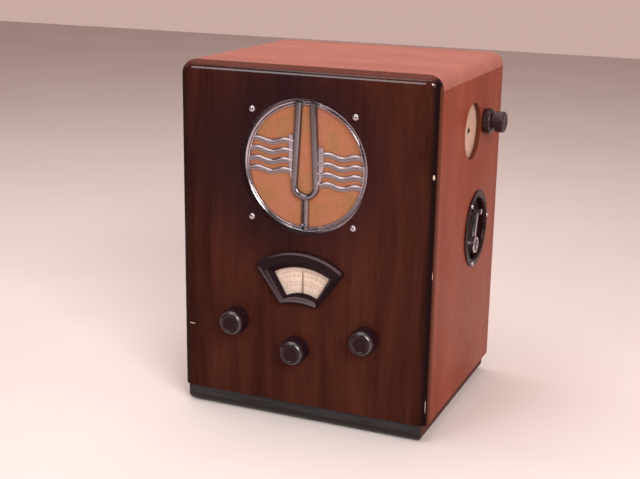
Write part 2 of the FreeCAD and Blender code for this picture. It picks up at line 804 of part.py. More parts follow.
def pilot_lamp():
    top = 210
    bulb_y = f"({PANEL_BACK} + 12)"
    node("pilot_lamp", lathe([(0, 0), (4.6, 0), (4.6, 9), (5.6, 14), (5.6, 19), (0, 24.6, 5.6)],
                             (0, bulb_y, top - 34), "+z"))
    strap = box((-9, 9), (PANEL_BACK, f"{PANEL_BACK} + 1.2"), (top - 36, top))
    shelf = box((-9, 9), (PANEL_BACK, f"{PANEL_BACK} + 20"), (top - 37.2, top - 36))
    ring = cylinder(6.4, 10, (0, bulb_y, top - 36), "+z")
    socket = cylinder(4.6, 20, (0, bulb_y, top - 34), "+z")
    node("lamp_bracket", cut(fuse([strap, shelf, ring]), [socket]))


# ---------------------------------------------------------------- tuning, volume and tone


def knob(x, z):
    """Moulded knob with a wide bevel and a dished face, hollow behind so that it covers the spindle's nut."""
    return lathe([
        ("spindle", 3.6),
        (9.5, 3.6),
        (9.5, 0),
        ("knob_radius - 1", 0),
        ("knob_radius", 1),
        ("knob_radius", 11.5),
        ("knob_radius - 0.8", 13),
        ("knob_radius - 4.6", "knob_depth - 1"),
        ("knob_radius - 5.6", "knob_depth"),
        ("knob_radius - 7", "knob_depth"),
        ("knob_radius - 8.5", "knob_depth - 1"),
        (0, "knob_depth - 1"),
        (0, 17),
        ("spindle", 17),
    ], (x, f"{FRONT} - knob_gap", z), "-y")


SPINDLE_TIP = f"({FRONT} - knob_gap - 17)"


def tuning():
    """Variable condenser whose spindle carries the middle knob and the pinion."""
    low = "deck"
    front = -90
    back = -40
    half = 26
    sides = (f"tuning_shift - {half}", f"tuning_shift + {half}")
    frame = fuse([
        box(sides, (front, back), (low, f"{low} + 2")),
        box(sides, (front, front + 2), (low, f"{SHAFT_Z} + 28")),
        box(sides, (back - 2, back), (low, f"{SHAFT_Z} + 28")),
    ])
    bearing = cylinder("spindle + 0.05", 80, ("tuning_shift", front - 10, SHAFT_Z), "+y")
    node("condenser_frame", cut(frame, [bearing]))

    pitch = 5
    fixed = []
    spindle_start = ("tuning_shift", SPINDLE_TIP, SHAFT_Z)
    moving = [cylinder("spindle", f"{back + 2} - {SPINDLE_TIP}", spindle_start, "+y")]
    wide = ("tuning_shift - 24", "tuning_shift + 24")
    for number in range(8):
        y = front + 5 + pitch * number
        fixed.append(box(wide, (y, y + 1), (f"{SHAFT_Z} + 5", f"{SHAFT_Z} + 26")))
    for number in range(7):
        vane = cylinder(22, 1, ("tuning_shift", front + 7.5 + pitch * number, SHAFT_Z), "+y")
        vane.Angle = 180
        vane.Placement.Rotation = TURNED["+y"].multiply(FreeCAD.Rotation(FreeCAD.Vector(0, 0, 1), -90))
        moving.append(vane)
    for side in (-1, 1):
        post = (f"tuning_shift + {side} * 20", front + 2, f"{SHAFT_Z} + 22.5")
        fixed.append(cylinder(2, back - front - 4, post, "+y"))
    node("condenser_stator", fuse(fixed))
    node("condenser_rotor", fuse(moving))
    node("tuning_knob", knob("tuning_shift", SHAFT_Z))


def side_controls():
    """Volume and tone controls, held to the front panel by a nut on the bush."""
    controls = []
    nuts = []
    hole = "spindle + 0.05"
    control = [(hole, -17.6), (4.8, -17.6), (4.8, 0), (15, 0), (17, 2), (17, 14), (hole, 14)]
    for side, name in ((-1, "volume"), (1, "tone")):
        x = f"{side} * side_shaft_x"
        controls.append(lathe(control, (x, PANEL_BACK, "side_shaft_z"), "+y"))
        nut = doc.addObject("Part::Prism", "nut")
        nut.Polygon = 6
        nut.Circumradius = 7.4
        nut.Height = 2.6
        place(nut, x, FRONT, "side_shaft_z", TURNED["-y"])
        nuts.append(cut(nut, [cylinder(4.8, 8, (x, f"{FRONT} + 3", "side_shaft_z"), "-y")]))
        node(f"{name}_knob", knob(x, "side_shaft_z"))
        length = f"{PANEL_BACK} + 13 - {SPINDLE_TIP}"
        node(f"{name}_spindle", cylinder("spindle", length, (x, SPINDLE_TIP, "side_shaft_z"), "+y"))
    node("volume_and_tone_controls", group(controls))
    node("control_nuts", group(nuts))


# ---------------------------------------------------------------- right side


def indicator():
    """Ivory disc behind a round window, turned at its edge by a grooved roller on the side knob's spindle."""
    back = f"({INSIDE} - 2)"
    disc = cylinder("disc_radius", 1.4, (f"{INSIDE} + 4.6", "disc_y", "disc_z"), "+x")
    node("indicator_disc", cut(disc, [cylinder(2.06, 6, (f"{INSIDE} + 2", "disc_y", "disc_z"), "+x")]))
    node("disc_pivot", lathe([(0, 0), (2, 0), (2, 8.2), (3.2, 8.2), (3.2, 8.9), (0, 9.9, dome(3.2, 1))],
                             (back, "disc_y", "disc_z"), "+x"))
    strap = box((back, INSIDE), ("disc_y - 46", "drive_y + 16"), ("disc_z - 9", "drive_z + 9"))
    pivot_hole = cylinder(2, 6, (f"{back} - 2", "disc_y", "disc_z"), "+x")
    spindle_hole = cylinder("spindle + 0.05", 6, (f"{back} - 2", "drive_y", "drive_z"), "+x")
    node("disc_bracket", cut(strap, [pivot_hole, spindle_hole]))
    node("side_drive_spindle", lathe([
        (0, -6), ("spindle", -6), ("spindle", 4.6), (12.4, 4.6), (12.4, 6.2), (10.4, 6.2), (10.4, 8.4),
        (12.4, 8.4), (12.4, 9.1), ("spindle", 9.1), ("spindle", 34), (0, 34),
    ], (back, "drive_y", "drive_z"), "+x"))
    node("side_knob", lathe([
        ("spindle", 0), (15.5, 0), (15.5, 8.6), (14, 10.4), (9, 10.9), (9, 13.4), (12, 13.8), (12.8, 14.8),
        (12.8, 24), (11.4, 25.4), (0, 25.6), (0, 19.4), ("spindle", 19.4),
    ], (f"{HALF} + 0.6", "drive_y", "drive_z"), "+x"))


def switch_dish():
    """Round moulded dish let into the side, with a plated lever in it and the switch behind it."""
    dish = lathe([
        (0, "-dish_depth - 2.5"), ("dish_hollow + 2", "-dish_depth - 2.5"), ("dish_hollow + 2", 0),
        ("dish_radius", 0), ("dish_radius", 1), ("dish_radius - 1.8", 2.8, 1.8), ("dish_hollow + 2", 2.8),
        ("dish_hollow", 0.8, 2), ("dish_hollow", "-dish_depth"), (0, "-dish_depth"),
    ], (HALF, "dish_y", "dish_z"), "+x")
    holes = [cylinder("spindle + 0.05", 8, (f"{HALF} - dish_depth - 4", "lever_y", "lever_z"), "+x")]
    screws = []
    screw = [(0, -8), (1.5, -8), (1.5, 2.8), (3, 2.8), (0, 4.6, dome(3, 1.8))]
    for y, z in DISH_SCREWS:
        holes.append(cylinder(1.5, 6, (f"{HALF} - 1", y, z), "+x"))
        screws.append(lathe(screw, (HALF, y, z), "+x"))
    node("side_dish", cut(dish, holes))
    node("dish_screws", group(screws))
    floor = f"({HALF} - dish_depth)"
    boss = lathe([
        (0, -22), ("spindle", -22), ("spindle", 0.3), (11, 0.3), (11, 8.6),
        (9.8, 9.8), (7.4, 9.8), (7, 8), (0, 8),
    ], (floor, "lever_y", "lever_z"), "+x")
    tip = "lever_z + lever_length"
    arm = box((f"{floor} + 3.6", f"{floor} + 7"), ("lever_y - 3", "lever_y + 3"), ("lever_z", tip))
    grip = cylinder(3.6, 8.6, (f"{floor} + 2.6", "lever_y", tip), "+x")
    lever = fuse([boss, arm, grip])
    lean = FreeCAD.Rotation(FreeCAD.Vector(1, 0, 0), -value("lever_lean"))
    pivot = FreeCAD.Vector(0, value("lever_y"), value("lever_z"))
    lever.Placement = FreeCAD.Placement(FreeCAD.Vector(), lean, pivot)
    node("side_lever", lever)
    node("range_switch", cut(
        cylinder(16, 24, (f"{floor} - 26.5", "lever_y", "lever_z"), "+x"),
        [cylinder("spindle + 0.05", 40, (f"{floor} - 34", "lever_y", "lever_z"), "+x")],
    ))


# ---------------------------------------------------------------- chassis and electrical parts

VALVES = [(62, -62), (108, -52), (108, 24), (62, 88), (8, 88)]
COIL_CANS = [(-62, -62), (-108, -62), (60, 10)]
SOCKETS_X = (55, 85)
SOCKET_Z = 45
INLET_X = -80


def chassis():
    """Steel deck welded to a front wall and to a rear apron, both with a lip on the base board."""
    across = ("-chassis_half", "chassis_half")
    under = "deck - sheet"
    lip = ("base_height", "base_height + sheet")
    deck = box(across, ("chassis_front", "chassis_rear"), (under, "deck"))
    front = fuse([
        box(across, ("chassis_front", "chassis_front + sheet"), ("base_height", under)),
        box(across, ("chassis_front - 8", "chassis_front"), lip),
    ])
    apron = fuse([
        box(across, ("chassis_rear - sheet", "chassis_rear"), ("base_height", under)),
        box(across, ("chassis_rear - 14", "chassis_rear - sheet"), lip),
    ])
    valve_holes = [cylinder(12, 6, (x, y, "deck - 4"), "+z") for x, y in VALVES]
    outlets = [cylinder(4.6, 6, (x, "chassis_rear - 4", SOCKET_Z), "+y") for x in SOCKETS_X]
    outlets.append(cylinder(6, 6, (INLET_X, "chassis_rear - 4", SOCKET_Z), "+y"))
    front_bolts, rear_bolts = (
        [cylinder(2, 6, (x, y, "base_height - 2"), "+z") for x, y in CHASSIS_BOLTS if y == row]
        for row in CHASSIS_BOLT_ROWS
    )
    plates = [cut(deck, valve_holes), cut(front, front_bolts), cut(apron, rear_bolts + outlets)]
    node("chassis", group(plates))
    bolt = [(0, 2), (4.5, 2), (4.5, 6), (2, 6), (2, 29), (0, 29)]
    node("chassis_bolts", group([lathe(bolt, (x, y, 0), "+z") for x, y in CHASSIS_BOLTS]))


def connections():
    """Aerial and earth sockets, and the grommet where the mains lead came in."""
    strip = box((40, 100), ("chassis_rear", "chassis_rear + 2"), (SOCKET_Z - 10, SOCKET_Z + 10))
    holes = [cylinder(3.4, 6, (x, "chassis_rear - 2", SOCKET_Z), "+y") for x in SOCKETS_X]
    node("socket_strip", cut(strip, holes))
    bush = [(2.05, -8.5), (3.4, -8.5), (3.4, 2), (5, 2), (5, 3.5), (2.05, 3.5)]
    node("socket_bushes", group([lathe(bush, (x, "chassis_rear", SOCKET_Z), "+y") for x in SOCKETS_X]))
    node("mains_grommet", lathe([
        (3.6, -3.2), (7, -3.2), (8, -2.2), (8, "-sheet"), (6, "-sheet"),
        (6, 0), (8, 0), (8, 2), (7, 3), (3.6, 3),
    ], (INLET_X, "chassis_rear", SOCKET_Z), "+y"))


def on_deck(profile, places):
    """The same turned piece at each place on the chassis deck."""
    return group([lathe(profile, (x, y, "deck"), "+z") for x, y in places])


def valves():
    node("valve_sockets", on_deck([(0, -6), (10, -6), (10, 0), (17, 0), (17, 3), (0, 3)], VALVES))
    node("valve_bases", on_deck([(0, 3), (15.5, 3), (15.5, 22), (14, 24), (0, 24)], VALVES))
    node("valve_envelopes", on_deck([
        (12, 24), (13, 24), (13, 30), (20, 44), (20, 72), (0, 92, 20),
        (0, 91), (19, 72, -19), (19, 44.2), (12, 30.2),
    ], VALVES))
    electrodes = [(0, 24), (5, 24), (5, 36), (10, 38), (10, 70), (8, 74), (0, 74)]
    node("valve_electrodes", on_deck(electrodes, VALVES))


def other_components():
    node("coil_cans", on_deck([(0, 0), (17, 0), (17, 58), (15, 60), (0, 60)], COIL_CANS))
    can = [(0, 0), (16, 0), (16, 78), (14, 81), (5, 81), (5, 83), (0, 83)]
    node("electrolytic_can", lathe(can, (-42, 92, "deck"), "+z"))
    core = box((-128, -66), (34, 94), ("deck", "deck + 62"))
    windows = [box(x, (30, 98), ("deck + 14", "deck + 48")) for x in ((-119, -104), (-90, -75))]
    node("transformer_core", cut(core, windows))
    coil = box((-118.5, -75.5), (28, 100), ("deck + 14.5", "deck + 47.5"))
    node("transformer_winding", cut(coil, [box((-104, -90), (34, 94), ("deck + 10", "deck + 52"))]))
    node("output_transformer", fuse([
        box((-118, -82), (-20, 12), ("deck", "deck + 32")),
        box((-112, -88), (-26, 18), ("deck + 6", "deck + 26")),
    ]))
    places = [(-70, -60), (-45, -60), (-20, 10), (30, 40)]
    node("paper_capacitors", group([cylinder(7, 44, (x, y, "deck - sheet - 7"), "+y") for x, y in places]))


# ---------------------------------------------------------------- build, test and write

front_panel()
side_panels()
top_of_cabinet()
base_board()
battens()
rear_cover()
speaker_grille()
loudspeaker()
dial()
gears()
pilot_lamp()
tuning()
side_controls()
indicator()
switch_dish()
chassis()
connections()
valves()
other_components()
doc.recompute()

for thing in doc.Objects:
    if "Invalid" in thing.State or "Error" in thing.State:
        raise RuntimeError(f"{thing.Name} ({thing.Label}) failed: {thing.State}")
for label, thing in nodes.items():
    if thing.Shape.isNull() or not thing.Shape.isValid() or not thing.Shape.Solids:
        raise RuntimeError(f"{label} has no valid solid")

os.makedirs("parts", exist_ok=True)
for label, thing in nodes.items():
    thing.Shape.exportStep(f"parts/{label}.step")
print(len(nodes), "nodes written")
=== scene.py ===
import json
import math

import bpy
from mathutils import Matrix, Vector


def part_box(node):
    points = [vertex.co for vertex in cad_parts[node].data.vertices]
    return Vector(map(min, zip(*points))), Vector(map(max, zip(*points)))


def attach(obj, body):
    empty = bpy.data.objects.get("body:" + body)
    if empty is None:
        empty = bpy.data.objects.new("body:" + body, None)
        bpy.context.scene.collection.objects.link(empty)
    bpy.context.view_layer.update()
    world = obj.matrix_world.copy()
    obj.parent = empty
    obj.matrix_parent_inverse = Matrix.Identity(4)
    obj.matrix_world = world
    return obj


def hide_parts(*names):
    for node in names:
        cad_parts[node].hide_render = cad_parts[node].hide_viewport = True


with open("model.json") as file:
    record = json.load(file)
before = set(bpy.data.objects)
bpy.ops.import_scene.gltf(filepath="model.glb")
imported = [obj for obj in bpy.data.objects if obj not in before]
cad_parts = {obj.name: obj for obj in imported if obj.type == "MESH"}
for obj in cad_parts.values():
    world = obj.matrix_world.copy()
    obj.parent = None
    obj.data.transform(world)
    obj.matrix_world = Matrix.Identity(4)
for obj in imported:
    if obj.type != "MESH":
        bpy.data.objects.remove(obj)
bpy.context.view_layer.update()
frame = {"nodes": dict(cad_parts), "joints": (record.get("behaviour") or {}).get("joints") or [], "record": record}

# Upright wooden table radio, about 1935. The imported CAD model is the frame: +X is the listener's right, the
# front faces -Y and +Z is up. Lengths are in millimetres unless a comment says metres, and become metres
# where a mesh, a light or a shader is made.

MM = 0.001
SMOOTH_ANGLE = 35      # degrees: faces that meet at less look smooth
GAP = 0.05             # keeps a visible surface clear of another, or of the edge of its CAD box
NODES = frame["nodes"]


def pivot_mm(name):
    """The point that a joint turns about."""
    return Vector(next(joint for joint in frame["joints"] if joint["name"] == name)["pos_m"]) / MM


def box_mm(node):
    """A node's lowest and highest corners."""
    low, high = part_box(node)
    return low / MM, high / MM


# ---- mesh helpers

# For each direction that a turned shape can point in: its own x, y and height, turned to the frame.
AXES = {
    "-y": Matrix(((1, 0, 0), (0, 0, -1), (0, 1, 0))),
    "+y": Matrix(((1, 0, 0), (0, 0, 1), (0, -1, 0))),
    "+x": Matrix(((0, 0, 1), (1, 0, 0), (0, 1, 0))),
    "+z": Matrix.Identity(3),
}


def piece(name, vertices, faces, smooth_angle=SMOOTH_ANGLE):
    """A new object from vertices in millimetres, smooth except where faces meet at more than the angle."""
    mesh = bpy.data.meshes.new(name)
    mesh.from_pydata([Vector(v) * MM for v in vertices], [], faces)
    mesh.validate()
    mesh.shade_smooth()
    mesh.set_sharp_from_angle(angle=math.radians(smooth_angle))
    made = bpy.data.objects.new(name, mesh)
    bpy.context.scene.collection.objects.link(made)
    return made


def dress(made, body, slot, replaced=(), material=None):
    """Gives a piece its body and its material, the record slot's finish unless another is given, and hides
    the CAD nodes that it stands for.
    """
    made.data.materials.clear()
    made.data.materials.append(material or FINISHES[slot])
    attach(made, body)
    if replaced:
        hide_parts(*replaced)


def rounded(points, steps=4):
    """A profile with its corners rounded: each point is (radius, height) or (radius, height, fillet)."""
    smooth = []
    for here, point in enumerate(points):
        corner = Vector(point[:2])
        if len(point) < 3 or here in (0, len(points) - 1):
            smooth.append(corner)
            continue
        back = Vector(points[here - 1][:2]) - corner
        ahead = Vector(points[here + 1][:2]) - corner
        reach = min(point[2], back.length * 0.49, ahead.length * 0.49)
        first = corner + back.normalized() * reach
        last = corner + ahead.normalized() * reach
        for step in range(steps + 1):
            along = step / steps
            smooth.append(first.lerp(corner, along).lerp(corner.lerp(last, along), along))
    return smooth


def turned(profile, centre, axis, segments=96, flute=None):
    """Vertices and faces of a turned shape. flute(turn, radius, height) may change the radius."""
    frame_of = AXES[axis]
    centre = Vector(centre)
    vertices = []
    rings = []
    for radius, height in profile:
        if radius < 1e-6:
            rings.append([len(vertices)])
            vertices.append(centre + frame_of @ Vector((0, 0, height)))
            continue
        ring = []
        for segment in range(segments):
            turn = 2 * math.pi * segment / segments
            out = flute(turn, radius, height) if flute else radius
            ring.append(len(vertices))
            vertices.append(centre + frame_of @ Vector((out * math.cos(turn), out * math.sin(turn), height)))
        rings.append(ring)
    faces = []
    for lower, upper in zip(rings, rings[1:]):
        for segment in range(segments):
            after = (segment + 1) % segments
            if len(lower) == 1 and len(upper) > 1:
                faces.append((lower[0], upper[after], upper[segment]))
            elif len(upper) == 1 and len(lower) > 1:
                faces.append((lower[segment], lower[after], upper[0]))
            elif len(lower) > 1:
                faces.append((lower[segment], lower[after], upper[after], upper[segment]))
    return vertices, faces


def joined(*shapes):
    """One list of vertices and faces from several."""
    vertices = []
    faces = []
    for more_vertices, more_faces in shapes:
        first = len(vertices)
        vertices += more_vertices
        faces += [tuple(first + index for index in face) for face in more_faces]
    return vertices, faces


# Sections of bars: shares of the half width and of the height.
ROUND_BAR = (
    (-1, 0), (-1, 0.42), (-0.8, 0.66), (-0.3, 0.95), (0, 1), (0.3, 0.95), (0.8, 0.66), (1, 0.42), (1, 0),
)
FLAT_BAR = ((-1, 0), (-1, 0.7), (-0.8, 1), (0.8, 1), (1, 0.7), (1, 0))
ROOFED_BAR = ((-1, 0), (-1, 0.55), (-0.72, 0.86), (-0.35, 1), (0.35, 1), (0.72, 0.86), (1, 0.55), (1, 0))
GROOVED_BAR = ((-1, 0), (-1, 0.6), (-0.4, 1), (-0.12, 0.6), (0.12, 0.6), (0.4, 1), (1, 0.6), (1, 0))


def ridge(path, back, height, section=ROUND_BAR):
    """A bar in the front plane. path holds (x, z, half width) and back is the y of its flat back."""
    vertices = []
    count = len(path)
    for here, (x, z, half) in enumerate(path):
        before = path[max(here - 1, 0)]
        after = path[min(here + 1, count - 1)]
        along = Vector((after[0] - before[0], after[1] - before[1])).normalized()
        across = Vector((along.y, -along.x))
        for offset, rise in section:
            aside = across * offset * half
            vertices.append(Vector((x + aside.x, back - rise * height, z + aside.y)))
    wide = len(section)
    faces = []
    for first in range(0, (count - 1) * wide, wide):
        for column in range(wide):
            right = (column + 1) % wide
            faces.append((first + column, first + right, first + wide + right, first + wide + column))
    faces.append(tuple(range(wide))[::-1])
    faces.append(tuple((count - 1) * wide + column for column in range(wide)))
    return vertices, faces


def carved(made, cutter):
    """Cuts one new piece with another, which is then thrown away."""
    step = made.modifiers.new("carve", "BOOLEAN")
    step.object = cutter
    step.solver = "EXACT"
    bpy.context.view_layer.update()
    mesh = bpy.data.meshes.new_from_object(made.evaluated_get(bpy.context.evaluated_depsgraph_get()))
    made.modifiers.clear()
    made.data = mesh
    mesh.shade_smooth()
    mesh.set_sharp_from_angle(angle=math.radians(SMOOTH_ANGLE))
    bpy.data.objects.remove(cutter)
    return made


def slab(centre, along, across, normal, sizes):
    """Vertices and faces of a straight-sided block about a point, for cutting slots."""
    corners = [
        centre + along * (i * sizes[0]) + across * (j * sizes[1]) + normal * (k * sizes[2])
        for k in (-1, 1) for i, j in ((-1, -1), (1, -1), (1, 1), (-1, 1))
    ]
    return corners, [(3, 2, 1, 0), (4, 5, 6, 7), (0, 1, 5, 4), (1, 2, 6, 5), (2, 3, 7, 6), (3, 0, 4, 7)]


def screws(name, places, axis, head, shank, slot_depth):
    """Slotted screws in one piece: head and shank are turned profiles, and each slot has its own angle."""
    shapes = []
    cuts = []
    radius = max(point[0] for point in head)
    top = max(point[1] for point in head)
    frame_of = AXES[axis]
    first_slot, next_slot = 0.5, 1.9
    for number, place in enumerate(places):
        shapes.append(turned(rounded(shank + head, 5), place, axis, 40))
        turn = first_slot + number * next_slot
        along = frame_of @ Vector((math.cos(turn), math.sin(turn), 0))
        across = frame_of @ Vector((-math.sin(turn), math.cos(turn), 0))
        normal = frame_of @ Vector((0, 0, 1))
        sizes = (radius * 1.2, radius * 0.13, slot_depth)
        cuts.append(slab(Vector(place) + normal * top, along, across, normal, sizes))
    return carved(piece(name, *joined(*shapes)), piece("slots", *joined(*cuts)))


# ---- shader helpers


class Shader:
    """One material's node tree, with short names for the nodes that this object needs."""

    def __init__(self, name):
        self.material = bpy.data.materials.new(name)
        self.material.use_nodes = True
        self.tree = self.material.node_tree
        self.surface = self.tree.nodes["Principled BSDF"]
        coordinates = self.tree.nodes.new("ShaderNodeTexCoord")
        self.place = coordinates.outputs["Object"]
        self.facing = coordinates.outputs["Normal"]

    def set(self, **values):
        """Numbers and colours that are the same all over the surface."""
        for name, value in values.items():
            socket = self.surface.inputs[name.replace("_", " ").title().replace("Ior", "IOR")]
            socket.default_value = (*value, 1) if isinstance(value, tuple) else value
        return self

    def node(self, kind, inputs, **settings):
        """A new node, with its settings and with a value or a link for each input."""
        made = self.tree.nodes.new("ShaderNode" + kind)
        for name, value in settings.items():
            setattr(made, name, value)
        for name, value in inputs.items():
            self.feed(made.inputs[name], value)
        return made.outputs

    def feed(self, socket, value):
        if isinstance(value, bpy.types.NodeSocket):
            self.tree.links.new(value, socket)
        elif isinstance(value, tuple) and len(value) == 3 and socket.type == "RGBA":
            socket.default_value = (*value, 1)
        else:
            socket.default_value = value

    def stretched(self, x, y, z):
        """The object's own coordinates, scaled along each axis."""
        return self.node("Mapping", {"Vector": self.place, "Scale": (x, y, z)})["Vector"]

    def noise(self, place, scale=1.0, detail=4.0, rough=0.55, twist=0.0):
        inputs = {"Vector": place, "Scale": scale, "Detail": detail, "Roughness": rough, "Distortion": twist}
        return self.node("TexNoise", inputs)["Fac"]

    def wave(self, place, scale, twist=0.0, direction="X"):
        inputs = {"Vector": place, "Scale": scale, "Distortion": twist}
        return self.node("TexWave", inputs, bands_direction=direction)["Fac"]

    def axis(self, vector, letter):
        """One component of a vector."""
        return self.node("SeparateXYZ", {"Vector": vector})[letter]

    def ramp(self, value, *stops):
        """Blends between colours: each stop is a place on the scale and a colour."""
        made = self.tree.nodes.new("ShaderNodeValToRGB")
        while len(made.color_ramp.elements) < len(stops):
            made.color_ramp.elements.new(0.5)
        for element, (at, colour) in zip(made.color_ramp.elements, stops):
            element.position = at
            element.color = (*colour, 1)
        self.feed(made.inputs["Fac"], value)
        return made.outputs["Color"]

    def mix(self, amount, low, high):
        """Two colours, the second in the given amount. A Mix node's colours are its sockets 6, 7 and 2."""
        return self.node("Mix", {"Factor": amount, 6: low, 7: high}, data_type="RGBA")[2]

    def maths(self, operation, first, second=0.0):
        return self.node("Math", {0: first, 1: second}, operation=operation)[0]

    def times(self, first, second):
        return self.maths("MULTIPLY", first, second)

    def plus(self, first, second):
        return self.maths("ADD", first, second)

    def aside(self):
        """Distance from the middle plane x = 0, in metres."""
        return self.maths("ABSOLUTE", self.axis(self.place, "X"))

    def range(self, value, low, high, out_low=0.0, out_high=1.0):
        """A smooth step from one value to another."""
        inputs = {"Value": value, "From Min": low, "From Max": high, "To Min": out_low, "To Max": out_high}
        return self.node("MapRange", inputs, interpolation_type="SMOOTHSTEP")["Result"]

    def distance(self, point, scale):
        """Distance from a point, in metres, with each axis scaled."""
        scaled = [p * s for p, s in zip(point, scale)]
        return self.node("VectorMath", {0: self.stretched(*scale), 1: scaled}, operation="DISTANCE")["Value"]

    def bump(self, height, strength, reach, under=None):
        inputs = {"Strength": strength, "Distance": reach, "Height": height}
        if under:
            inputs["Normal"] = under
        return self.node("Bump", inputs)["Normal"]

    def colour(self, value):
        self.feed(self.surface.inputs["Base Color"], value)
        return self

    def rough(self, value):
        self.feed(self.surface.inputs["Roughness"], value)
        return self

    def normal(self, value):
        self.feed(self.surface.inputs["Normal"], value)
        return self


# ---- materials

SPEAKER_CENTRE = (box_mm("speaker_grille")[0] + box_mm("speaker_grille")[1]) / 2
FRONT_Y = box_mm("front_panel")[0].y
# The pale colour of bare wood in a chip, also used for painted glints.
WORN_AND_GLINT = (0.60, 0.46, 0.38)


def chips_and_glints(shader, colour, spots):
    """Small pale places: chips in the lacquer down to bare wood, and painted highlights that stand for glints.
    Each is a point, a size and a stretch.
    """
    ragged = shader.noise(shader.place, scale=900, detail=5)
    for point, size, stretch in spots:
        near = shader.distance([p * MM for p in point], stretch)
        edge = shader.plus(near, shader.times(ragged, size * 0.9 * MM))
        inside = shader.range(edge, size * 1.05 * MM, size * 1.25 * MM, 1, 0)
        colour = shader.mix(inside, colour, WORN_AND_GLINT)
    return colour


def shaded_front(shader, stain, broad, shine):
    """The front board's own stains, in metres: dark round the loudspeaker, near black without lacquer down
    its edges and brown on its very sides, and brown along its top with a line of polish below."""
    near_black, edge_brown = (0.010, 0.004, 0.004), (0.12, 0.034, 0.020)
    halo_tone, top_brown = (0.014, 0.006, 0.009), (0.105, 0.030, 0.021)
    halo_centre = (SPEAKER_CENTRE + Vector((-22, 0, 12))) * MM
    shade = shader.plus(shader.distance(halo_centre, (1, 0, 1)), shader.times(broad, 0.030))
    stain = shader.mix(shader.range(shade, 0.085, 0.180, 0.74, 0.0), stain, halo_tone)
    height = shader.axis(shader.place, "Z")
    stain = shader.mix(shader.range(height, 0.4245, 0.4270), stain, top_brown)
    aside = shader.aside()
    edge = shader.range(shader.plus(aside, shader.times(broad, 0.004)), 0.152, 0.158)
    stain = shader.mix(edge, stain, near_black)
    stain = shader.mix(shader.range(aside, 0.1580, 0.1598), stain, edge_brown)
    rubbed = shader.times(shader.range(height, 0.4195, 0.4215), shader.range(height, 0.4242, 0.4262, 1, 0))
    polish = shader.times(shader.maths("SUBTRACT", 1, edge), shader.plus(rubbed, shine))
    shader.feed(shader.surface.inputs["Coat Weight"], polish)
    return stain


def stained_hole(shader, stain, centre, radius):
    """Darkens the edge of a round hole in the right panel."""
    out = shader.distance(centre * MM, (0, 1, 1))
    inside = shader.range(out, (radius + 0.1) * MM, (radius + 0.5) * MM, 1, 0)
    right_panel = shader.range(shader.axis(shader.place, "X"), 0, 0.01)
    return shader.mix(shader.times(inside, right_panel), stain, (0.11, 0.028, 0.016))


def lacquered_wood(name, deep, light, figure_axis, gloss, shine, front=False, hole=None, spots=()):
    """Stained veneer under lacquer. figure_axis is the scale of its figure along x, y and z, gloss is the
    roughness of the lacquer and shine its strength, and hole is the centre and radius of a round hole in the
    right panel."""
    shader = Shader(name)
    fx, fy, fz = figure_axis
    broad = shader.noise(shader.stretched(7 * fx, 7 * fy, 7 * fz), detail=3, twist=0.6)
    streak = shader.noise(shader.stretched(46 * fx, 46 * fy, 46 * fz), detail=6, rough=0.62, twist=0.9)
    fine = shader.noise(shader.stretched(420 * fx, 420 * fy, 420 * fz), detail=5, rough=0.7)
    figure = shader.plus(shader.times(broad, 0.55), shader.times(streak, 0.45))
    middle = tuple((a + b) / 2 for a, b in zip(deep, light))
    stain = shader.ramp(figure, (0.36, deep), (0.5, middle), (0.64, light))
    pores = shader.range(fine, 0.56, 0.74)
    stain = shader.mix(shader.times(pores, 0.45), stain, tuple(c * 0.35 for c in deep))
    shader.set(coat_weight=shine, coat_roughness=gloss, specular_ior_level=shine)
    if front:
        stain = shaded_front(shader, stain, broad, shine)
    if hole:
        stain = stained_hole(shader, stain, *hole)
    stain = chips_and_glints(shader, stain, spots)
    smudge = shader.noise(shader.stretched(9, 9, 9), detail=6, rough=0.6)
    shader.colour(stain).rough(shader.range(smudge, 0.35, 0.7, gloss + 0.12, gloss + 0.28))
    ripple = shader.noise(shader.stretched(26, 26, 26), detail=2)
    shader.normal(shader.bump(fine, 0.05, 0.0004, shader.bump(ripple, 0.10, 0.0010)))
    return shader.material


def ebonised():
    """Black-stained base board with grey rubs, painted shade that makes it darker and browner along its foot,
    and brown on its two sides.
    """
    shader = Shader("ebonised_wood")
    grain = shader.noise(shader.stretched(20, 300, 300), detail=5, rough=0.6)
    rub = shader.noise(shader.stretched(30, 30, 60), detail=6, rough=0.7)
    colour = shader.ramp(grain, (0.35, (0.010, 0.009, 0.010)), (0.7, (0.034, 0.029, 0.032)))
    colour = shader.mix(shader.range(rub, 0.62, 0.78), colour, (0.055, 0.048, 0.046))
    # Painted shade: below about 12 mm, where the board's lower edge turns down to the floor, it is painted darker
    # and browner.
    foot_shade_height = shader.plus(shader.axis(shader.place, "Z"), shader.times(rub, 0.003))
    colour = shader.mix(shader.range(foot_shade_height, 0.0115, 0.0135, 0.85, 0.0), colour, (0.014, 0.007, 0.006))
    side = shader.range(shader.aside(), 0.1525, 0.1538)
    colour = shader.mix(side, colour, (0.075, 0.020, 0.013))
    shader.colour(colour).rough(shader.maths("MAXIMUM", side, shader.range(rub, 0.35, 0.75, 0.16, 0.42)))
    shader.normal(shader.bump(grain, 0.12, 0.0005))
    shader.set(coat_weight=0.08, coat_roughness=0.10, specular_ior_level=0.25)
    return shader.material


def bare_wood(name, deep, light):
    """Unfinished softwood with upright grain."""
    shader = Shader(name)
    grain = shader.noise(shader.stretched(160, 160, 9), detail=6, rough=0.65, twist=0.5)
    rings = shader.wave(shader.stretched(1, 1, 0.12), 38, twist=5)
    colour = shader.ramp(grain, (0.35, deep), (0.68, light))
    colour = shader.mix(shader.times(rings, 0.45), colour, deep)
    shader.colour(colour).rough(shader.range(grain, 0.3, 0.7, 0.62, 0.82))
    shader.normal(shader.bump(grain, 0.25, 0.0005))
    return shader.material


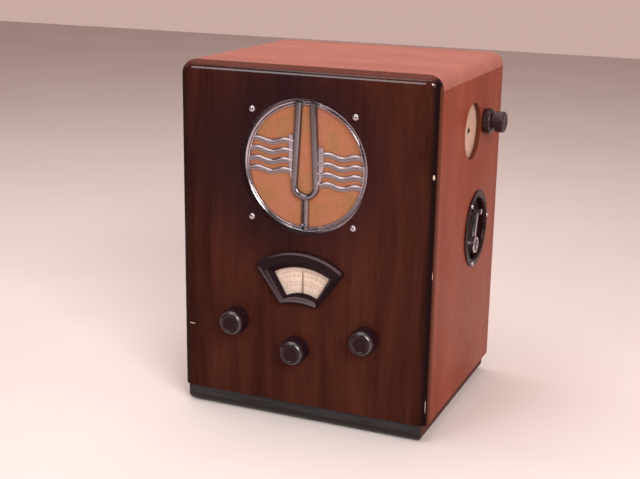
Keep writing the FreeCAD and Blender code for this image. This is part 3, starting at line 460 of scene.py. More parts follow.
def plated(name, tint, rough_low, rough_high, tarnish=(0.22, 0.18, 0.13), metal=1.0, dark=None):
    """Plated or bare metal with fine scratches and faint tarnish. An oxide film takes off some of its metal
    look. dark holds the half width of an upright band whose darker colour is a painted dark reflection, and a
    y behind which all of it is painted darker as shade."""
    shader = Shader(name)
    scratch = shader.noise(shader.stretched(2600, 160, 900), detail=3, rough=0.7)
    cloud = shader.noise(shader.stretched(60, 60, 60), detail=6, rough=0.65)
    colour = shader.mix(shader.range(cloud, 0.55, 0.8, 0, 0.55), tint, tarnish)
    if dark:
        half, behind = dark
        # Painted dark reflection in the upright band, and painted shade on all that lies behind the given y.
        band = shader.range(shader.aside(), half * MM, (half + 2) * MM, 0.85, 0)
        depth = shader.axis(shader.place, "Y")
        recess = shader.range(depth, (behind - 0.2) * MM, (behind + 0.2) * MM, 0, 0.7)
        colour = shader.mix(shader.maths("MAXIMUM", band, recess), colour, tuple(c * 0.36 for c in tint))
    shader.colour(colour).rough(shader.range(cloud, 0.3, 0.75, rough_low, rough_high))
    shader.normal(shader.bump(scratch, 0.06, 0.0002))
    shader.set(metallic=metal)
    return shader.material


def painted_steel(name, tint, rough=0.42):
    """Paint with an orange-peel surface and some dust."""
    shader = Shader(name)
    peel = shader.noise(shader.stretched(700, 700, 700), detail=2)
    dust = shader.noise(shader.stretched(25, 25, 25), detail=6, rough=0.7)
    dusted = tuple(min(1, c * 2 + 0.05) for c in tint)
    colour = shader.mix(shader.range(dust, 0.5, 0.8, 0, 0.35), tint, dusted)
    shader.colour(colour).rough(shader.range(dust, 0.3, 0.75, rough, rough + 0.2))
    shader.normal(shader.bump(peel, 0.08, 0.0002))
    return shader.material


def moulded(name, deep, light, rough, specular, polished=False, dust_and_sheen=False):
    """Moulded bakelite: near-black brown with cloudy flow marks. A polished knob shines on its bevel and is
    dull on its face and barrel. With dust and sheen, a moulding is greyed along its front where it faces up, by
    dust and by a painted sheen that stands for light falling on it, but not where it also faces left."""
    shader = Shader(name)
    flow = shader.noise(shader.stretched(140, 140, 140), detail=5, rough=0.6, twist=1.4)
    worn = shader.noise(shader.stretched(900, 900, 900), detail=4)
    colour = shader.ramp(flow, (0.35, deep), (0.72, light))
    shader.set(specular_ior_level=specular, specular_tint=(1.0, 0.80, 0.84))
    if polished:
        forward = shader.times(shader.axis(shader.facing, "Y"), -1)
        off_face = shader.range(forward, 0.86, 0.95, 1, 0)
        bevel = shader.times(shader.range(forward, 0.25, 0.45), off_face)
        shader.feed(shader.surface.inputs["Coat Weight"], bevel)
        shader.set(coat_ior=1.75, coat_roughness=0.3)
    if dust_and_sheen:
        # Painted sheen with some dust: faces proud of the front that face up, a bead's top among them, are greyed
        # as if lit, but not those that also face left.
        up = shader.axis(shader.facing, "Z")
        not_left = shader.range(shader.axis(shader.facing, "X"), -0.45, -0.15)
        depth = shader.axis(shader.place, "Y")
        forward = shader.range(depth, (FRONT_Y - 6.6) * MM, (FRONT_Y - 4.8) * MM, 0.85, 0)
        dust = shader.times(shader.times(shader.range(up, 0.15, 0.80), not_left), forward)
        colour = shader.mix(dust, colour, (0.115, 0.085, 0.090))
    shader.colour(colour).rough(shader.range(worn, 0.35, 0.75, rough, rough + 0.16))
    shader.normal(shader.bump(worn, 0.05, 0.0002))
    return shader.material


def speaker_cloth():
    """Plain-woven speaker cloth, copper thread over ochre, a little faded in patches."""
    shader = Shader("speaker_cloth")
    thread_pitch = 0.0008
    across = math.pi / 10 / thread_pitch
    warp = shader.wave(shader.place, across, direction="X")
    weft = shader.wave(shader.place, across, direction="Z")
    weave = shader.times(warp, weft)
    slub = shader.noise(shader.stretched(1500, 100, 60), detail=3)
    cross = shader.noise(shader.stretched(60, 100, 1500), detail=3)
    fade = shader.noise(shader.stretched(26, 26, 26), detail=4, rough=0.6)
    ochre, copper, rose = (0.37, 0.165, 0.056), (0.465, 0.16, 0.065), (0.465, 0.155, 0.096)
    colour = shader.ramp(fade, (0.38, ochre), (0.5, copper), (0.62, rose))
    colour = shader.mix(shader.range(slub, 0.45, 0.8, 0.0, 0.5), colour, (0.27, 0.10, 0.04))
    colour = shader.mix(shader.range(cross, 0.5, 0.8, 0.0, 0.4), colour, (0.66, 0.36, 0.17))
    colour = shader.mix(shader.range(weave, 0.0, 0.35, 0.45, 0.0), colour, (0.20, 0.07, 0.03))
    shader.colour(colour)
    shader.normal(shader.bump(weave, 0.5, 0.0003))
    shader.set(roughness=0.72, sheen_weight=0.25, sheen_roughness=0.4)
    return shader.material


def ivory(name, light, deep):
    """Aged celluloid or card: cream with faint yellowing and specks."""
    shader = Shader(name)
    aged = shader.noise(shader.stretched(60, 60, 60), detail=5, rough=0.6)
    speck = shader.noise(shader.stretched(700, 700, 700), detail=3)
    colour = shader.ramp(aged, (0.35, light), (0.7, deep))
    colour = shader.mix(shader.range(speck, 0.66, 0.78, 0, 0.35), colour, (0.35, 0.22, 0.12))
    shader.colour(colour).rough(shader.range(aged, 0.3, 0.7, 0.34, 0.5))
    shader.normal(shader.bump(speck, 0.03, 0.0002))
    return shader.material


def ink(name, tint):
    """Printing ink, worn paler in places."""
    shader = Shader(name)
    fade = shader.noise(shader.stretched(500, 500, 500), detail=3)
    shader.colour(shader.mix(shader.range(fade, 0.4, 0.75, 0, 0.5), tint, tuple(c + 0.2 for c in tint)))
    shader.set(roughness=0.6)
    return shader.material


def clear(name, tint, cover):
    """Thin clear glass or celluloid with faint dust: most of the light goes straight through it. cover is its
    opacity where it is clean."""
    shader = Shader(name)
    dust = shader.noise(shader.stretched(300, 300, 300), detail=4)
    shader.rough(shader.range(dust, 0.4, 0.8, 0.04, 0.14))
    shader.colour(shader.mix(shader.range(dust, 0.5, 0.9, 0, 0.15), tint, (0.9, 0.88, 0.82)))
    shader.feed(shader.surface.inputs["Alpha"], shader.range(dust, 0.5, 0.9, cover, cover + 0.05))
    shader.set(ior=1.45)
    return shader.material


def fibre(name, deep, light, rough=0.85):
    """Pressed fibre board, paper or card."""
    shader = Shader(name)
    fluff = shader.noise(shader.stretched(500, 120, 800), detail=6, rough=0.7)
    stain = shader.noise(shader.stretched(12, 12, 12), detail=4)
    colour = shader.ramp(fluff, (0.35, deep), (0.7, light))
    colour = shader.mix(shader.range(stain, 0.5, 0.8, 0, 0.4), colour, deep)
    shader.colour(colour)
    shader.normal(shader.bump(fluff, 0.3, 0.0004))
    shader.set(roughness=rough)
    return shader.material


# Chips and scratches where the set has been knocked, and two painted highlights on its top right corner.
FRONT_CHIPS_AND_GLINTS = (
    ((156.5, FRONT_Y + 3, 319), 1.9, (1, 1, 0.45)),
    ((158.5, FRONT_Y + 6, 205), 0.6, (1, 1, 0.10)),
    ((157.0, FRONT_Y + 4, 47), 0.55, (1, 1, 0.045)),
    ((150, FRONT_Y + 1, 36), 0.9, (0.25, 1, 1)),
    ((-147, FRONT_Y, 105), 0.9, (0.16, 1, 1)),
    # Painted highlights: the last two are glints of light on the top right corner, painted as pale spots.
    ((151, FRONT_Y + 2, 421), 1.1, (1, 1, 0.7)),
    ((147, FRONT_Y + 1, 417), 0.8, (1, 1, 1)),
)
DISC_HOLE_RADIUS = 34
NICKEL = {"tint": (0.47, 0.40, 0.43), "rough_low": 0.12, "rough_high": 0.28, "tarnish": (0.13, 0.10, 0.115),
          "metal": 0.95}
KNOB_DEEP = (0.011, 0.004, 0.006)
KNOB_LIGHT = (0.026, 0.009, 0.012)

# The look of each of the record's material slots.
FINISHES = {
    "walnut_front": lacquered_wood("walnut_front", (0.015, 0.0034, 0.0022), (0.075, 0.020, 0.012),
                                   (1, 1, 0.10), gloss=0.10, shine=0.02, front=True, spots=FRONT_CHIPS_AND_GLINTS),
    "walnut_side": lacquered_wood("walnut_side", (0.205, 0.040, 0.021), (0.305, 0.066, 0.034), (1, 1, 0.08),
                                  gloss=0.14, shine=0.03, hole=(pivot_mm("disc_turn"), DISC_HOLE_RADIUS)),
    "walnut_top": lacquered_wood("walnut_top", (0.315, 0.116, 0.089), (0.435, 0.166, 0.130), (0.10, 1, 1),
                                 gloss=0.42, shine=0.05),
    "ebonised": ebonised(),
    "pine": bare_wood("pine", (0.36, 0.21, 0.10), (0.56, 0.38, 0.21)),
    "fibre_board": fibre("fibre_board", (0.075, 0.034, 0.018), (0.16, 0.078, 0.042)),
    "steel": plated("zinc_steel", (0.52, 0.52, 0.50), 0.28, 0.5),
    "black_steel": painted_steel("black_steel", (0.022, 0.022, 0.023)),
    "nickel": plated("nickel_plate", **NICKEL),
    "cloth": speaker_cloth(),
    "cone_paper": fibre("cone_paper", (0.035, 0.030, 0.026), (0.075, 0.065, 0.055)),
    "copper": plated("copper_wire", (0.66, 0.30, 0.16), 0.25, 0.45),
    "bakelite": moulded("bakelite", (0.010, 0.003, 0.0035), (0.024, 0.007, 0.008), 0.24, 0.16),
    "knob_bakelite": moulded("knob_bakelite", KNOB_DEEP, KNOB_LIGHT, 0.32, 0.12, polished=True),
    "pane": clear("window_pane", (0.90, 0.80, 0.68), 0.06),
    "ivory": ivory("ivory_card", (0.88, 0.71, 0.59), (0.78, 0.58, 0.48)),
    "brass": plated("aged_brass", (0.66, 0.49, 0.24), 0.22, 0.45, tarnish=(0.20, 0.13, 0.06)),
    "bulb": clear("bulb_glass", (0.70, 0.72, 0.72), 0.22),
    "vane": plated("vane_aluminium", (0.74, 0.74, 0.73), 0.25, 0.45, tarnish=(0.4, 0.4, 0.38)),
    "can": plated("spun_can", (0.70, 0.70, 0.69), 0.25, 0.5, tarnish=(0.38, 0.37, 0.34)),
    "rubber": painted_steel("rubber", (0.018, 0.018, 0.018), 0.6),
    "wound_paper": fibre("waxed_paper", (0.36, 0.25, 0.11), (0.55, 0.42, 0.22), 0.5),
}

for part in frame["record"]["subparts"]:
    carried = NODES[part["node"]]
    carried.data.materials.clear()
    carried.data.materials.append(FINISHES[part["material_slot"]])
NODES["indicator_disc"].data.materials[0] = ivory("ivory_disc", (0.62, 0.41, 0.32), (0.52, 0.32, 0.24))
NODES["dial_pointer"].data.materials[0] = painted_steel("pointer_lacquer", (0.30, 0.16, 0.11))


# ---- camera, floor and light

CAMERA_TARGET = Vector((-33.1, 0, 192.6))
CAMERA_AZIMUTH = math.radians(22.77)
CAMERA_ELEVATION = math.radians(15.567)
CAMERA_ROLL = math.radians(0.913)
CAMERA_DISTANCE = 1502.9
CAMERA_LENS = 65.73
CAMERA_SENSOR = 36


def camera():
    """Stands where the photographer stood: to the right of the set and a little above it."""
    flat = math.cos(CAMERA_ELEVATION)
    ahead = -math.cos(CAMERA_AZIMUTH) * flat
    back = Vector((math.sin(CAMERA_AZIMUTH) * flat, ahead, math.sin(CAMERA_ELEVATION)))
    right = Vector((0, 0, 1)).cross(back).normalized()
    up = back.cross(right)
    turned_right = right * math.cos(CAMERA_ROLL) + up * math.sin(CAMERA_ROLL)
    turned_up = up * math.cos(CAMERA_ROLL) - right * math.sin(CAMERA_ROLL)
    data = bpy.data.cameras.new("camera")
    data.lens = CAMERA_LENS
    data.sensor_width = CAMERA_SENSOR
    made = bpy.data.objects.new("camera", data)
    made.matrix_world = Matrix.Translation((CAMERA_TARGET + back * CAMERA_DISTANCE) * MM) @ Matrix(
        (turned_right, turned_up, back)
    ).transposed().to_4x4()
    bpy.context.scene.collection.objects.link(made)
    bpy.context.scene.camera = made


def floor():
    """A plain pale floor, flat and wide."""
    half = 4000
    corners = [(-half, -half, 0), (half, -half, 0), (half, half, 0), (-half, half, 0)]
    made = piece("floor", corners, [(0, 1, 2, 3)])
    shader = Shader("pale_floor")
    mottle = shader.noise(shader.stretched(3, 3, 3), detail=4)
    shader.colour(shader.ramp(mottle, (0.3, (0.74, 0.67, 0.645)), (0.7, (0.78, 0.71, 0.685))))
    shader.set(roughness=0.85, specular_ior_level=0.2)
    made.data.materials.append(shader.material)


def lamp(name, where, size, power, tint):
    """A soft rectangular light that faces the middle of the set. Its power is in watts."""
    middle_of_set = Vector((0, 0, 220))
    data = bpy.data.lights.new(name, "AREA")
    data.shape = "RECTANGLE"
    data.size = size[0] * MM
    data.size_y = size[1] * MM
    data.energy = power
    data.color = tint
    made = bpy.data.objects.new(name, data)
    made.location = Vector(where) * MM
    made.rotation_mode = "QUATERNION"
    made.rotation_quaternion = (middle_of_set - Vector(where)).to_track_quat("-Z", "Y")
    bpy.context.scene.collection.objects.link(made)


def surroundings():
    """A room that is dark behind the photographer and bright behind and beside the set."""
    world = bpy.data.worlds.new("room")
    world.use_nodes = True
    tree = world.node_tree
    direction = tree.nodes.new("ShaderNodeTexCoord").outputs["Generated"]
    parts = tree.nodes.new("ShaderNodeSeparateXYZ")
    tree.links.new(direction, parts.inputs[0])
    towards = tree.nodes.new("ShaderNodeMapRange")
    towards.interpolation_type = "SMOOTHSTEP"
    towards.inputs["From Min"].default_value = -0.55
    towards.inputs["From Max"].default_value = 0.15
    tree.links.new(parts.outputs["Y"], towards.inputs["Value"])
    shade = tree.nodes.new("ShaderNodeMix")
    shade.data_type = "RGBA"
    tree.links.new(towards.outputs["Result"], shade.inputs["Factor"])
    shade.inputs[6].default_value = (0.07, 0.055, 0.052, 1)
    shade.inputs[7].default_value = (0.97, 0.68, 0.61, 1)
    background = tree.nodes["Background"]
    tree.links.new(shade.outputs[2], background.inputs["Color"])
    background.inputs["Strength"].default_value = 0.6
    bpy.context.scene.world = world
    bpy.context.scene.view_settings.view_transform = "Standard"


def light():
    """A strong lamp at the right front, a weak one at the left front and a broad one above."""
    lamp("key", (1500, -1700, 1500), (1200, 1100), 59, (1.0, 0.94, 0.91))
    lamp("front_fill", (-900, -2100, 1300), (900, 700), 10, (0.95, 0.97, 1.0))
    lamp("top", (-400, -150, 2100), (2100, 1700), 32, (1.0, 0.95, 0.94))
    surroundings()


camera()
floor()
light()

# ---- loudspeaker grille

# Levels are counted from the middle of the grille.
GRILLE_Z = SPEAKER_CENTRE.z
CASTING_BACK = box_mm("speaker_grille")[1].y
RING_OUTER = 77.5
RING_INNER = 71.5
WAVE_LENGTH = 35
WAVE_CREST = 27
WAVE_HEIGHT = 1.8
BAR_HALF = 2
BAR_PITCH = 11.6
BARS_A_SIDE = 4
HIGHEST_BARS = ((-1, 28.4), (1, 15.8))    # side and level
BAR_HEIGHT = 3.0
FLANGE_HEIGHT = 1.2
FLANGE_HALF = 2.7
FLANGE_DROP = 1.9
LOOP_LOW = -22
LOOP_OUT = 17.5
LOOP_IN = 10
LOOP_TOP_OUT = 13
LOOP_TOP_IN = 4.6
LOOP_HEIGHT = 5.3
LOOP_BAND = 15.5
STEM_HEIGHT = 4.4
SKIRT_OUT = 22
SKIRT_HEIGHT = 2.0
SKIRT_LEFT_TOP = 36
SKIRT_RIGHT_TOP = 24


def grille_ring():
    """Flat flange on the cloth and a raised ring with a bead along each edge."""
    inner = RING_INNER
    outer = RING_OUTER
    flange = box_mm("speaker_grille")[1].x - 0.3
    profile = rounded([
        (inner, 0.05), (flange, 0.05), (flange, 1.1), (outer, 1.1), (outer, 2.4, 0.8),
        (outer - 1.0, 3.3, 0.9), (outer - 2.2, 2.5, 0.5), (outer - 2.8, 1.9, 0.4), (inner + 2.8, 1.9, 0.4),
        (inner + 2.2, 2.6, 0.5), (inner + 1.0, 3.3, 0.9), (inner, 2.4, 0.8), (inner, 0.05),
    ])
    return turned(profile, (0, CASTING_BACK, GRILLE_Z), "-y", 160)


def wavy_bar(side, level):
    """One wavy bar from beside the loop out to the ring, with a low flange along its lower side."""
    reach = math.sqrt((RING_INNER + 1.2) ** 2 - (abs(level) + BAR_HALF) ** 2)
    start = 14
    steps = 48
    path = []
    for step in range(steps + 1):
        out = start + (reach - start) * step / steps
        rise = WAVE_HEIGHT * math.cos(2 * math.pi * (out - WAVE_CREST) / WAVE_LENGTH)
        path.append((side * out, GRILLE_Z + level + rise, BAR_HALF))
    flange = [(x, z - FLANGE_DROP, FLANGE_HALF) for x, z, _ in path]
    return joined(ridge(path, CASTING_BACK, BAR_HEIGHT), ridge(flange, CASTING_BACK, FLANGE_HEIGHT, FLAT_BAR))


def round_foot(radius, half):
    """The half circle below the loop, from its left side to its right."""
    steps = 24
    turns = [math.pi * (1 + step / steps) for step in range(1, steps)]
    return [(radius * math.cos(turn), GRILLE_Z + LOOP_LOW + radius * math.sin(turn), half) for turn in turns]


def tapered_loop():
    """The long U that narrows towards the top."""
    top = GRILLE_Z + RING_OUTER - 3
    foot = GRILLE_Z + LOOP_LOW
    low = ((LOOP_OUT + LOOP_IN) / 2, (LOOP_OUT - LOOP_IN) / 2)
    high = ((LOOP_TOP_OUT + LOOP_TOP_IN) / 2, (LOOP_TOP_OUT - LOOP_TOP_IN) / 2)
    path = [(-high[0], top, high[1]), (-low[0], foot, low[1])] + round_foot(*low)
    path += [(low[0], foot, low[1]), (high[0], top, high[1])]
    return ridge(path, CASTING_BACK, LOOP_HEIGHT, ROOFED_BAR)


def loop_skirt():
    """The lower flange beside and below the loop, which the bars run into."""
    half = 3.5
    side = SKIRT_OUT - half
    low = LOOP_OUT - half
    foot = GRILLE_Z + LOOP_LOW
    path = [(-side, GRILLE_Z + SKIRT_LEFT_TOP, half), (-side, GRILLE_Z, half), (-low, foot, half)]
    path += round_foot(low, half)
    path += [(low, foot, half), (side, GRILLE_Z, half), (side, GRILLE_Z + SKIRT_RIGHT_TOP, half)]
    return ridge(path, CASTING_BACK, SKIRT_HEIGHT, FLAT_BAR)


def speaker_grille():
    """The whole casting, with its stem and two small balls at the stem's foot."""
    shapes = [grille_ring(), tapered_loop(), loop_skirt()]
    for side, highest in HIGHEST_BARS:
        shapes += [wavy_bar(side, highest - bar * BAR_PITCH) for bar in range(BARS_A_SIDE)]
    foot = GRILLE_Z - RING_OUTER + 3
    stem = [(0, foot, 4), (0, GRILLE_Z + LOOP_LOW - LOOP_OUT + 1, 4)]
    shapes.append(ridge(stem, CASTING_BACK, STEM_HEIGHT, GROOVED_BAR))
    ball = rounded([(2.3, 0), (2.3, 1.6, 1.2), (1.2, 2.5, 1.0), (0, 2.6)], 6)
    for side in (-1, 1):
        shapes.append(turned(ball, (side * 2.5, CASTING_BACK - 2.75, foot + 5), "-y", 24))
    # Painted dark reflection on the loop and painted shade near the casting's back, over real tarnish.
    tarnish_and_shade = plated("grille_nickel", **NICKEL, dark=(LOOP_BAND, CASTING_BACK - 1.45))
    dress(piece("grille_casting", *joined(*shapes)), "cabinet", "nickel", ["speaker_grille"], tarnish_and_shade)


speaker_grille()


def speaker_bolts():
    """Four slotted dome heads in a square round the grille."""
    low, high = box_mm("speaker_bolts")
    head = 4.2
    levels = (low.z + head, high.z - head)
    places = [(x, FRONT_Y, z) for x in (low.x + head, high.x - head) for z in levels]
    rise = FRONT_Y - low.y - GAP
    made = screws("dome_bolts", places, "-y",
                  [(head, 0), (head, 0.7, 0.5), (head * 0.74, rise * 0.78, 1.8), (0, rise)],
                  [(0, FRONT_Y - high.y), (2, FRONT_Y - high.y), (2, 0)], 0.6)
    dress(made, "cabinet", "nickel", ["speaker_bolts"])


speaker_bolts()


def grille_cloth():
    """Cloth stretched over the baffle, with the slight unevenness of a hand-pulled sheet."""
    low, high = box_mm("grille_cloth")
    radius = (high.x - low.x) / 2 - 0.3
    y = low.y + 0.25
    rings = 36
    segments = 96
    vertices = [Vector((0, y, GRILLE_Z))]
    for ring in range(1, rings + 1):
        out = radius * ring / rings
        for segment in range(segments):
            turn = 2 * math.pi * segment / segments
            sag = 0.12 * math.sin(5 * turn + ring * 0.35) * math.sin(math.pi * ring / rings)
            vertices.append(Vector((out * math.cos(turn), y + sag, GRILLE_Z + out * math.sin(turn))))
    faces = [(0, 1 + segment, 1 + (segment + 1) % segments) for segment in range(segments)]
    for first in range(1, 1 + (rings - 1) * segments, segments):
        beyond = first + segments
        for segment in range(segments):
            after = (segment + 1) % segments
            faces.append((first + segment, beyond + segment, beyond + after, first + after))
    cloth = piece("speaker_cloth", vertices, faces, 180)
    dress(cloth, "cabinet", "cloth", ["grille_cloth"])


grille_cloth()

# ---- dial

DIAL = pivot_mm("pointer_turn")
DIAL_INNER = 39.5
DIAL_OUTER = 71.5
DIAL_HALF = math.radians(30)
DIAL_SIDE = 7.3
DIAL_WING = 12.6
DIAL_FOOT = 5
DIAL_BROW = 19
DIAL_RIM = 2.2
DIAL_SILL = 80


def fan_contour(inner, outer, border, wing, sill=None, corners=(0.6, 0.6)):
    """Closed contour of a sector about the dial's centre. Its sides stand off the dial's own by a border
    below and a wing above. sill is the radius of its lower edge, and corners are how far the lower and the
    upper corners are rounded."""
    low = DIAL_HALF + math.asin(border / inner)
    high = DIAL_HALF + math.asin(wing / outer)
    sill = sill or inner
    sill_half = math.asin(inner * math.sin(low) / sill)
    sill_centre = inner * math.cos(low) - sill * math.cos(sill_half)

    def lower(share):
        turn = sill_half * (2 * share - 1)
        return Vector((sill * math.sin(turn), sill_centre + sill * math.cos(turn)))

    def upper(share):
        turn = high * (1 - 2 * share)
        return Vector((outer * math.sin(turn), outer * math.cos(turn)))

    def right(share):
        return lower(1).lerp(upper(0), share)

    def left(share):
        return upper(1).lerp(lower(0), share)

    side = (lower(1) - upper(0)).length
    edges = (
        (lower, 2 * sill * sill_half, corners[0], corners[0]),
        (right, side, corners[0], corners[1]),
        (upper, 2 * outer * high, corners[1], corners[1]),
        (left, side, corners[1], corners[0]),
    )
    points = []
    for number, (edge, long, before, after) in enumerate(edges):
        start = before / long
        end = 1 - after / long
        samples = 40 if edge in (lower, upper) else 12
        points += [edge(start + (end - start) * step / samples) for step in range(samples + 1)]
        following, next_long, next_before, _ = edges[(number + 1) % 4]
        first = edge(end)
        corner = edge(1)
        last = following(next_before / next_long)
        for step in range(1, 6):
            along = step / 6
            points.append(first.lerp(corner, along).lerp(corner.lerp(last, along), along))
    return points


def ringed(contours, heights):
    """Skins between contours of equal length at heights over the front, each to the next and round again."""
    count = len(contours[0])
    vertices = []
    for contour, height in zip(contours, heights):
        vertices += [Vector((point.x, FRONT_Y - height, DIAL.z + point.y)) for point in contour]
    faces = []
    for number in range(len(contours)):
        here = number * count
        after = (number + 1) % len(contours) * count
        for index in range(count):
            right = (index + 1) % count
            faces.append((here + index, here + right, after + right, after + index))
    return vertices, faces


def dial_surround():
    """Deep bakelite surround: a bead round its mouth and broad slopes down to the window."""
    rise = FRONT_Y - box_mm("dial_escutcheon")[0].y - GAP
    low = DIAL_INNER - DIAL_FOOT
    high = DIAL_OUTER + DIAL_BROW
    outer = fan_contour(low, high, DIAL_SIDE, DIAL_WING, DIAL_SILL, (1.5, 5))
    mouth = fan_contour(low + DIAL_RIM, high - DIAL_RIM, DIAL_SIDE - DIAL_RIM, DIAL_WING - DIAL_RIM,
                        DIAL_SILL, (0.6, 3))
    throat = fan_contour(DIAL_INNER, DIAL_OUTER, 0.01, 0.01)
    collar = fan_contour(DIAL_INNER - 2.5, DIAL_OUTER + 2.5, 2.5, 2.5)

    def between(start, end, share):
        return [a.lerp(b, share) for a, b in zip(start, end)]

    # Shares of the way from one contour to the next, and heights over the front.
    bead = [(0, 0), (0, rise - 3.2), (0.04, rise - 2.6), (0.30, rise - 2.3), (0.36, rise - 1.2),
            (0.52, rise - 0.3), (0.72, rise), (0.92, rise - 0.4), (1, rise - 1.2)]
    slope = [(0.06, rise - 1.7), (0.12, rise - 2.0), (0.46, 6.8), (0.54, 6.3), (0.60, 5.4), (0.97, 0.7),
             (1, 0.3)]
    contours = [between(outer, mouth, share) for share, height in bead]
    contours += [between(mouth, throat, share) for share, height in slope]
    contours += [throat, collar, collar]
    heights = [height for share, height in bead + slope] + [-2.55, -2.55, 0]
    made = piece("dial_surround", *ringed(contours, heights), smooth_angle=50)
    dust_and_sheen = moulded("dial_bakelite", (0.008, 0.003, 0.0045), (0.018, 0.006, 0.009), 0.34, 0.12, dust_and_sheen=True)
    dress(made, "cabinet", "bakelite", ["dial_escutcheon"], dust_and_sheen)


dial_surround()


def flat_arc(radius, half_width, angle, y, steps=60):
    """A printed arc line on the dial."""
    vertices = []
    for step in range(steps + 1):
        turn = -angle + 2 * angle * step / steps
        for out in (radius - half_width, radius + half_width):
            vertices.append(Vector((out * math.sin(turn), y, DIAL.z + out * math.cos(turn))))
    faces = [(2 * s, 2 * s + 1, 2 * s + 3, 2 * s + 2) for s in range(steps)]
    return vertices, faces


def flat_tick(start, end, half_width, turn, y):
    """A printed line along a radius of the dial."""
    along = Vector((math.sin(turn), 0, math.cos(turn)))
    across = Vector((math.cos(turn), 0, -math.sin(turn))) * half_width
    centre = Vector((0, y, DIAL.z))
    corners = [centre + along * start - across, centre + along * start + across,
               centre + along * end + across, centre + along * end - across]
    return corners, [(0, 1, 2, 3)]


def figure(text, size, radius, turn, y, name):
    """A printed number on the dial."""
    curve = bpy.data.curves.new(name, "FONT")
    curve.body = text
    curve.size = size * MM
    curve.align_x = "CENTER"
    curve.align_y = "CENTER"
    curve.extrude = 0
    made = bpy.data.objects.new(name, curve)
    bpy.context.scene.collection.objects.link(made)
    upright = Matrix.Rotation(math.radians(90), 4, "X")
    lean = Matrix.Rotation(turn, 4, "Y")
    place = Vector((radius * math.sin(turn), y, DIAL.z + radius * math.cos(turn))) * MM
    made.matrix_world = Matrix.Translation(place) @ lean @ upright
    bpy.context.view_layer.update()
    mesh = bpy.data.meshes.new_from_object(made.evaluated_get(bpy.context.evaluated_depsgraph_get()))
    mesh.transform(made.matrix_world)
    bpy.data.objects.remove(made)
    return [v.co / MM for v in mesh.vertices], [tuple(p.vertices) for p in mesh.polygons]


OUTER_ARC = 65.5
INNER_ARC = 52
PRINT_HALF = math.radians(27)


def dial_print():
    """Two arcs of generic graduations: 0 to 100 outside and 200 to 550 inside."""
    y = box_mm("dial_scale")[0].y - GAP
    shapes = [flat_arc(OUTER_ARC, 0.16, PRINT_HALF, y), flat_arc(INNER_ARC, 0.12, PRINT_HALF, y)]

    def turns(marks, half=PRINT_HALF):
        return [(mark, -half + 2 * half * mark / marks) for mark in range(marks + 1)]

    for mark, turn in turns(50):
        long = 3.4 if mark % 5 == 0 else 1.8
        shapes.append(flat_tick(OUTER_ARC - long, OUTER_ARC, 0.13, turn, y))
    for mark, turn in turns(35):
        long = 2.8 if mark % 5 == 0 else 1.4
        shapes.append(flat_tick(INNER_ARC, INNER_ARC + long, 0.12, turn, y))
    for mark, turn in turns(10):
        shapes.append(figure(str(mark * 10), 3.6, 59.4, turn, y, f"outer_figure_{mark}"))
    for mark, turn in turns(7, PRINT_HALF * 0.94):
        shapes.append(figure(str(200 + mark * 50), 3.0, 48.6, turn, y, f"inner_figure_{mark}"))
    printed = piece("dial_print", *joined(*shapes))
    dress(printed, "cabinet", "ivory", material=ink("dial_ink", (0.30, 0.18, 0.10)))


dial_print()

# ---- knobs


FLUTES = 24


def fluted(count, depth, low, high):
    """Flutes round a knob's barrel between two heights."""
    def radius_at(turn, radius, height):
        if not low < height < high:
            return radius
        ends = min(1, (height - low) / 1.2, (high - height) / 1.2)
        groove = max(0, math.cos(count * turn)) ** 1.5
        return radius - depth * ends * groove
    return radius_at


def knob(name, node, joint_name, body):
    """Front knob: a fluted barrel, a broad round bevel and a slightly sunk face."""
    low, high = box_mm(node)
    radius = (high.x - low.x) / 2
    deep = high.y - low.y
    pivot = pivot_mm(joint_name)
    base = (pivot.x, high.y, pivot.z)
    bevel = 5.6
    barrel = [Vector((radius, 1.0 + 10.5 * step / 14)) for step in range(1, 14)]
    turns = [math.radians(9 * step) for step in range(10)]
    dome = [Vector((radius - bevel + bevel * math.cos(turn), 12.2 + (deep - 12.4) * math.sin(turn)))
            for turn in turns]
    profile = rounded([(0, 3.6), (9.5, 3.6), (9.5, 0), (radius - 1, 0, 0.8), (radius, 1.0, 0.6)], 3)[:-1]
    profile += barrel + [Vector((radius, 11.6))] + dome
    profile += rounded([(radius - 6.2, deep), (radius - 7.0, deep - 0.5, 0.6), (0, deep - 0.7)], 3)
    shape = turned(profile, base, "-y", 192, fluted(FLUTES, 0.35, 1.2, 11.4))
    dress(piece(name, *shape, smooth_angle=40), body, "knob_bakelite", [node])


knob("volume_knob_moulding", "volume_knob", "volume_turn", "volume")
knob("tuning_knob_moulding", "tuning_knob", "tuning_turn", "tuning")
knob("tone_knob_moulding", "tone_knob", "tone_turn", "tone")


def side_knob():
    """Stepped knob: a broad collar, a neck and a narrow fluted grip."""
    low, high = box_mm("side_knob")
    pivot = pivot_mm("side_knob_turn")
    wide = (high.y - low.y) / 2
    long = high.x - low.x
    profile = rounded([
        (0, 0), (wide - 1, 0, 0.5), (wide, 1, 0.8), (wide, 8.4, 0.8), (wide - 1.8, 10.4, 1.6),
        (9.2, 10.9, 0.8),
        (9.0, 13.3, 0.8), (12.2, 13.7, 0.8),
    ])[:-1]
    grip = 12.8
    profile += [Vector((grip, 14.4 + 9.2 * step / 12)) for step in range(13)]
    profile += rounded([
        (grip, 23.7), (12.6, 24.6, 0.8), (11, long, 1.2), (9.4, long, 0.8), (8, long - 0.9, 1),
        (0, long - 0.9),
    ])
    shape = turned(profile, (low.x, pivot.y, pivot.z), "+x", 192, fluted(FLUTES, 0.45, 14.5, 23.6))
    made = piece("side_knob_moulding", *shape, smooth_angle=40)
    glossy = moulded("side_knob_bakelite", KNOB_DEEP, KNOB_LIGHT, 0.28, 0.55)
    dress(made, "side_drive", "knob_bakelite", ["side_knob"], glossy)


side_knob()

# ---- indicator, switch dish and lever

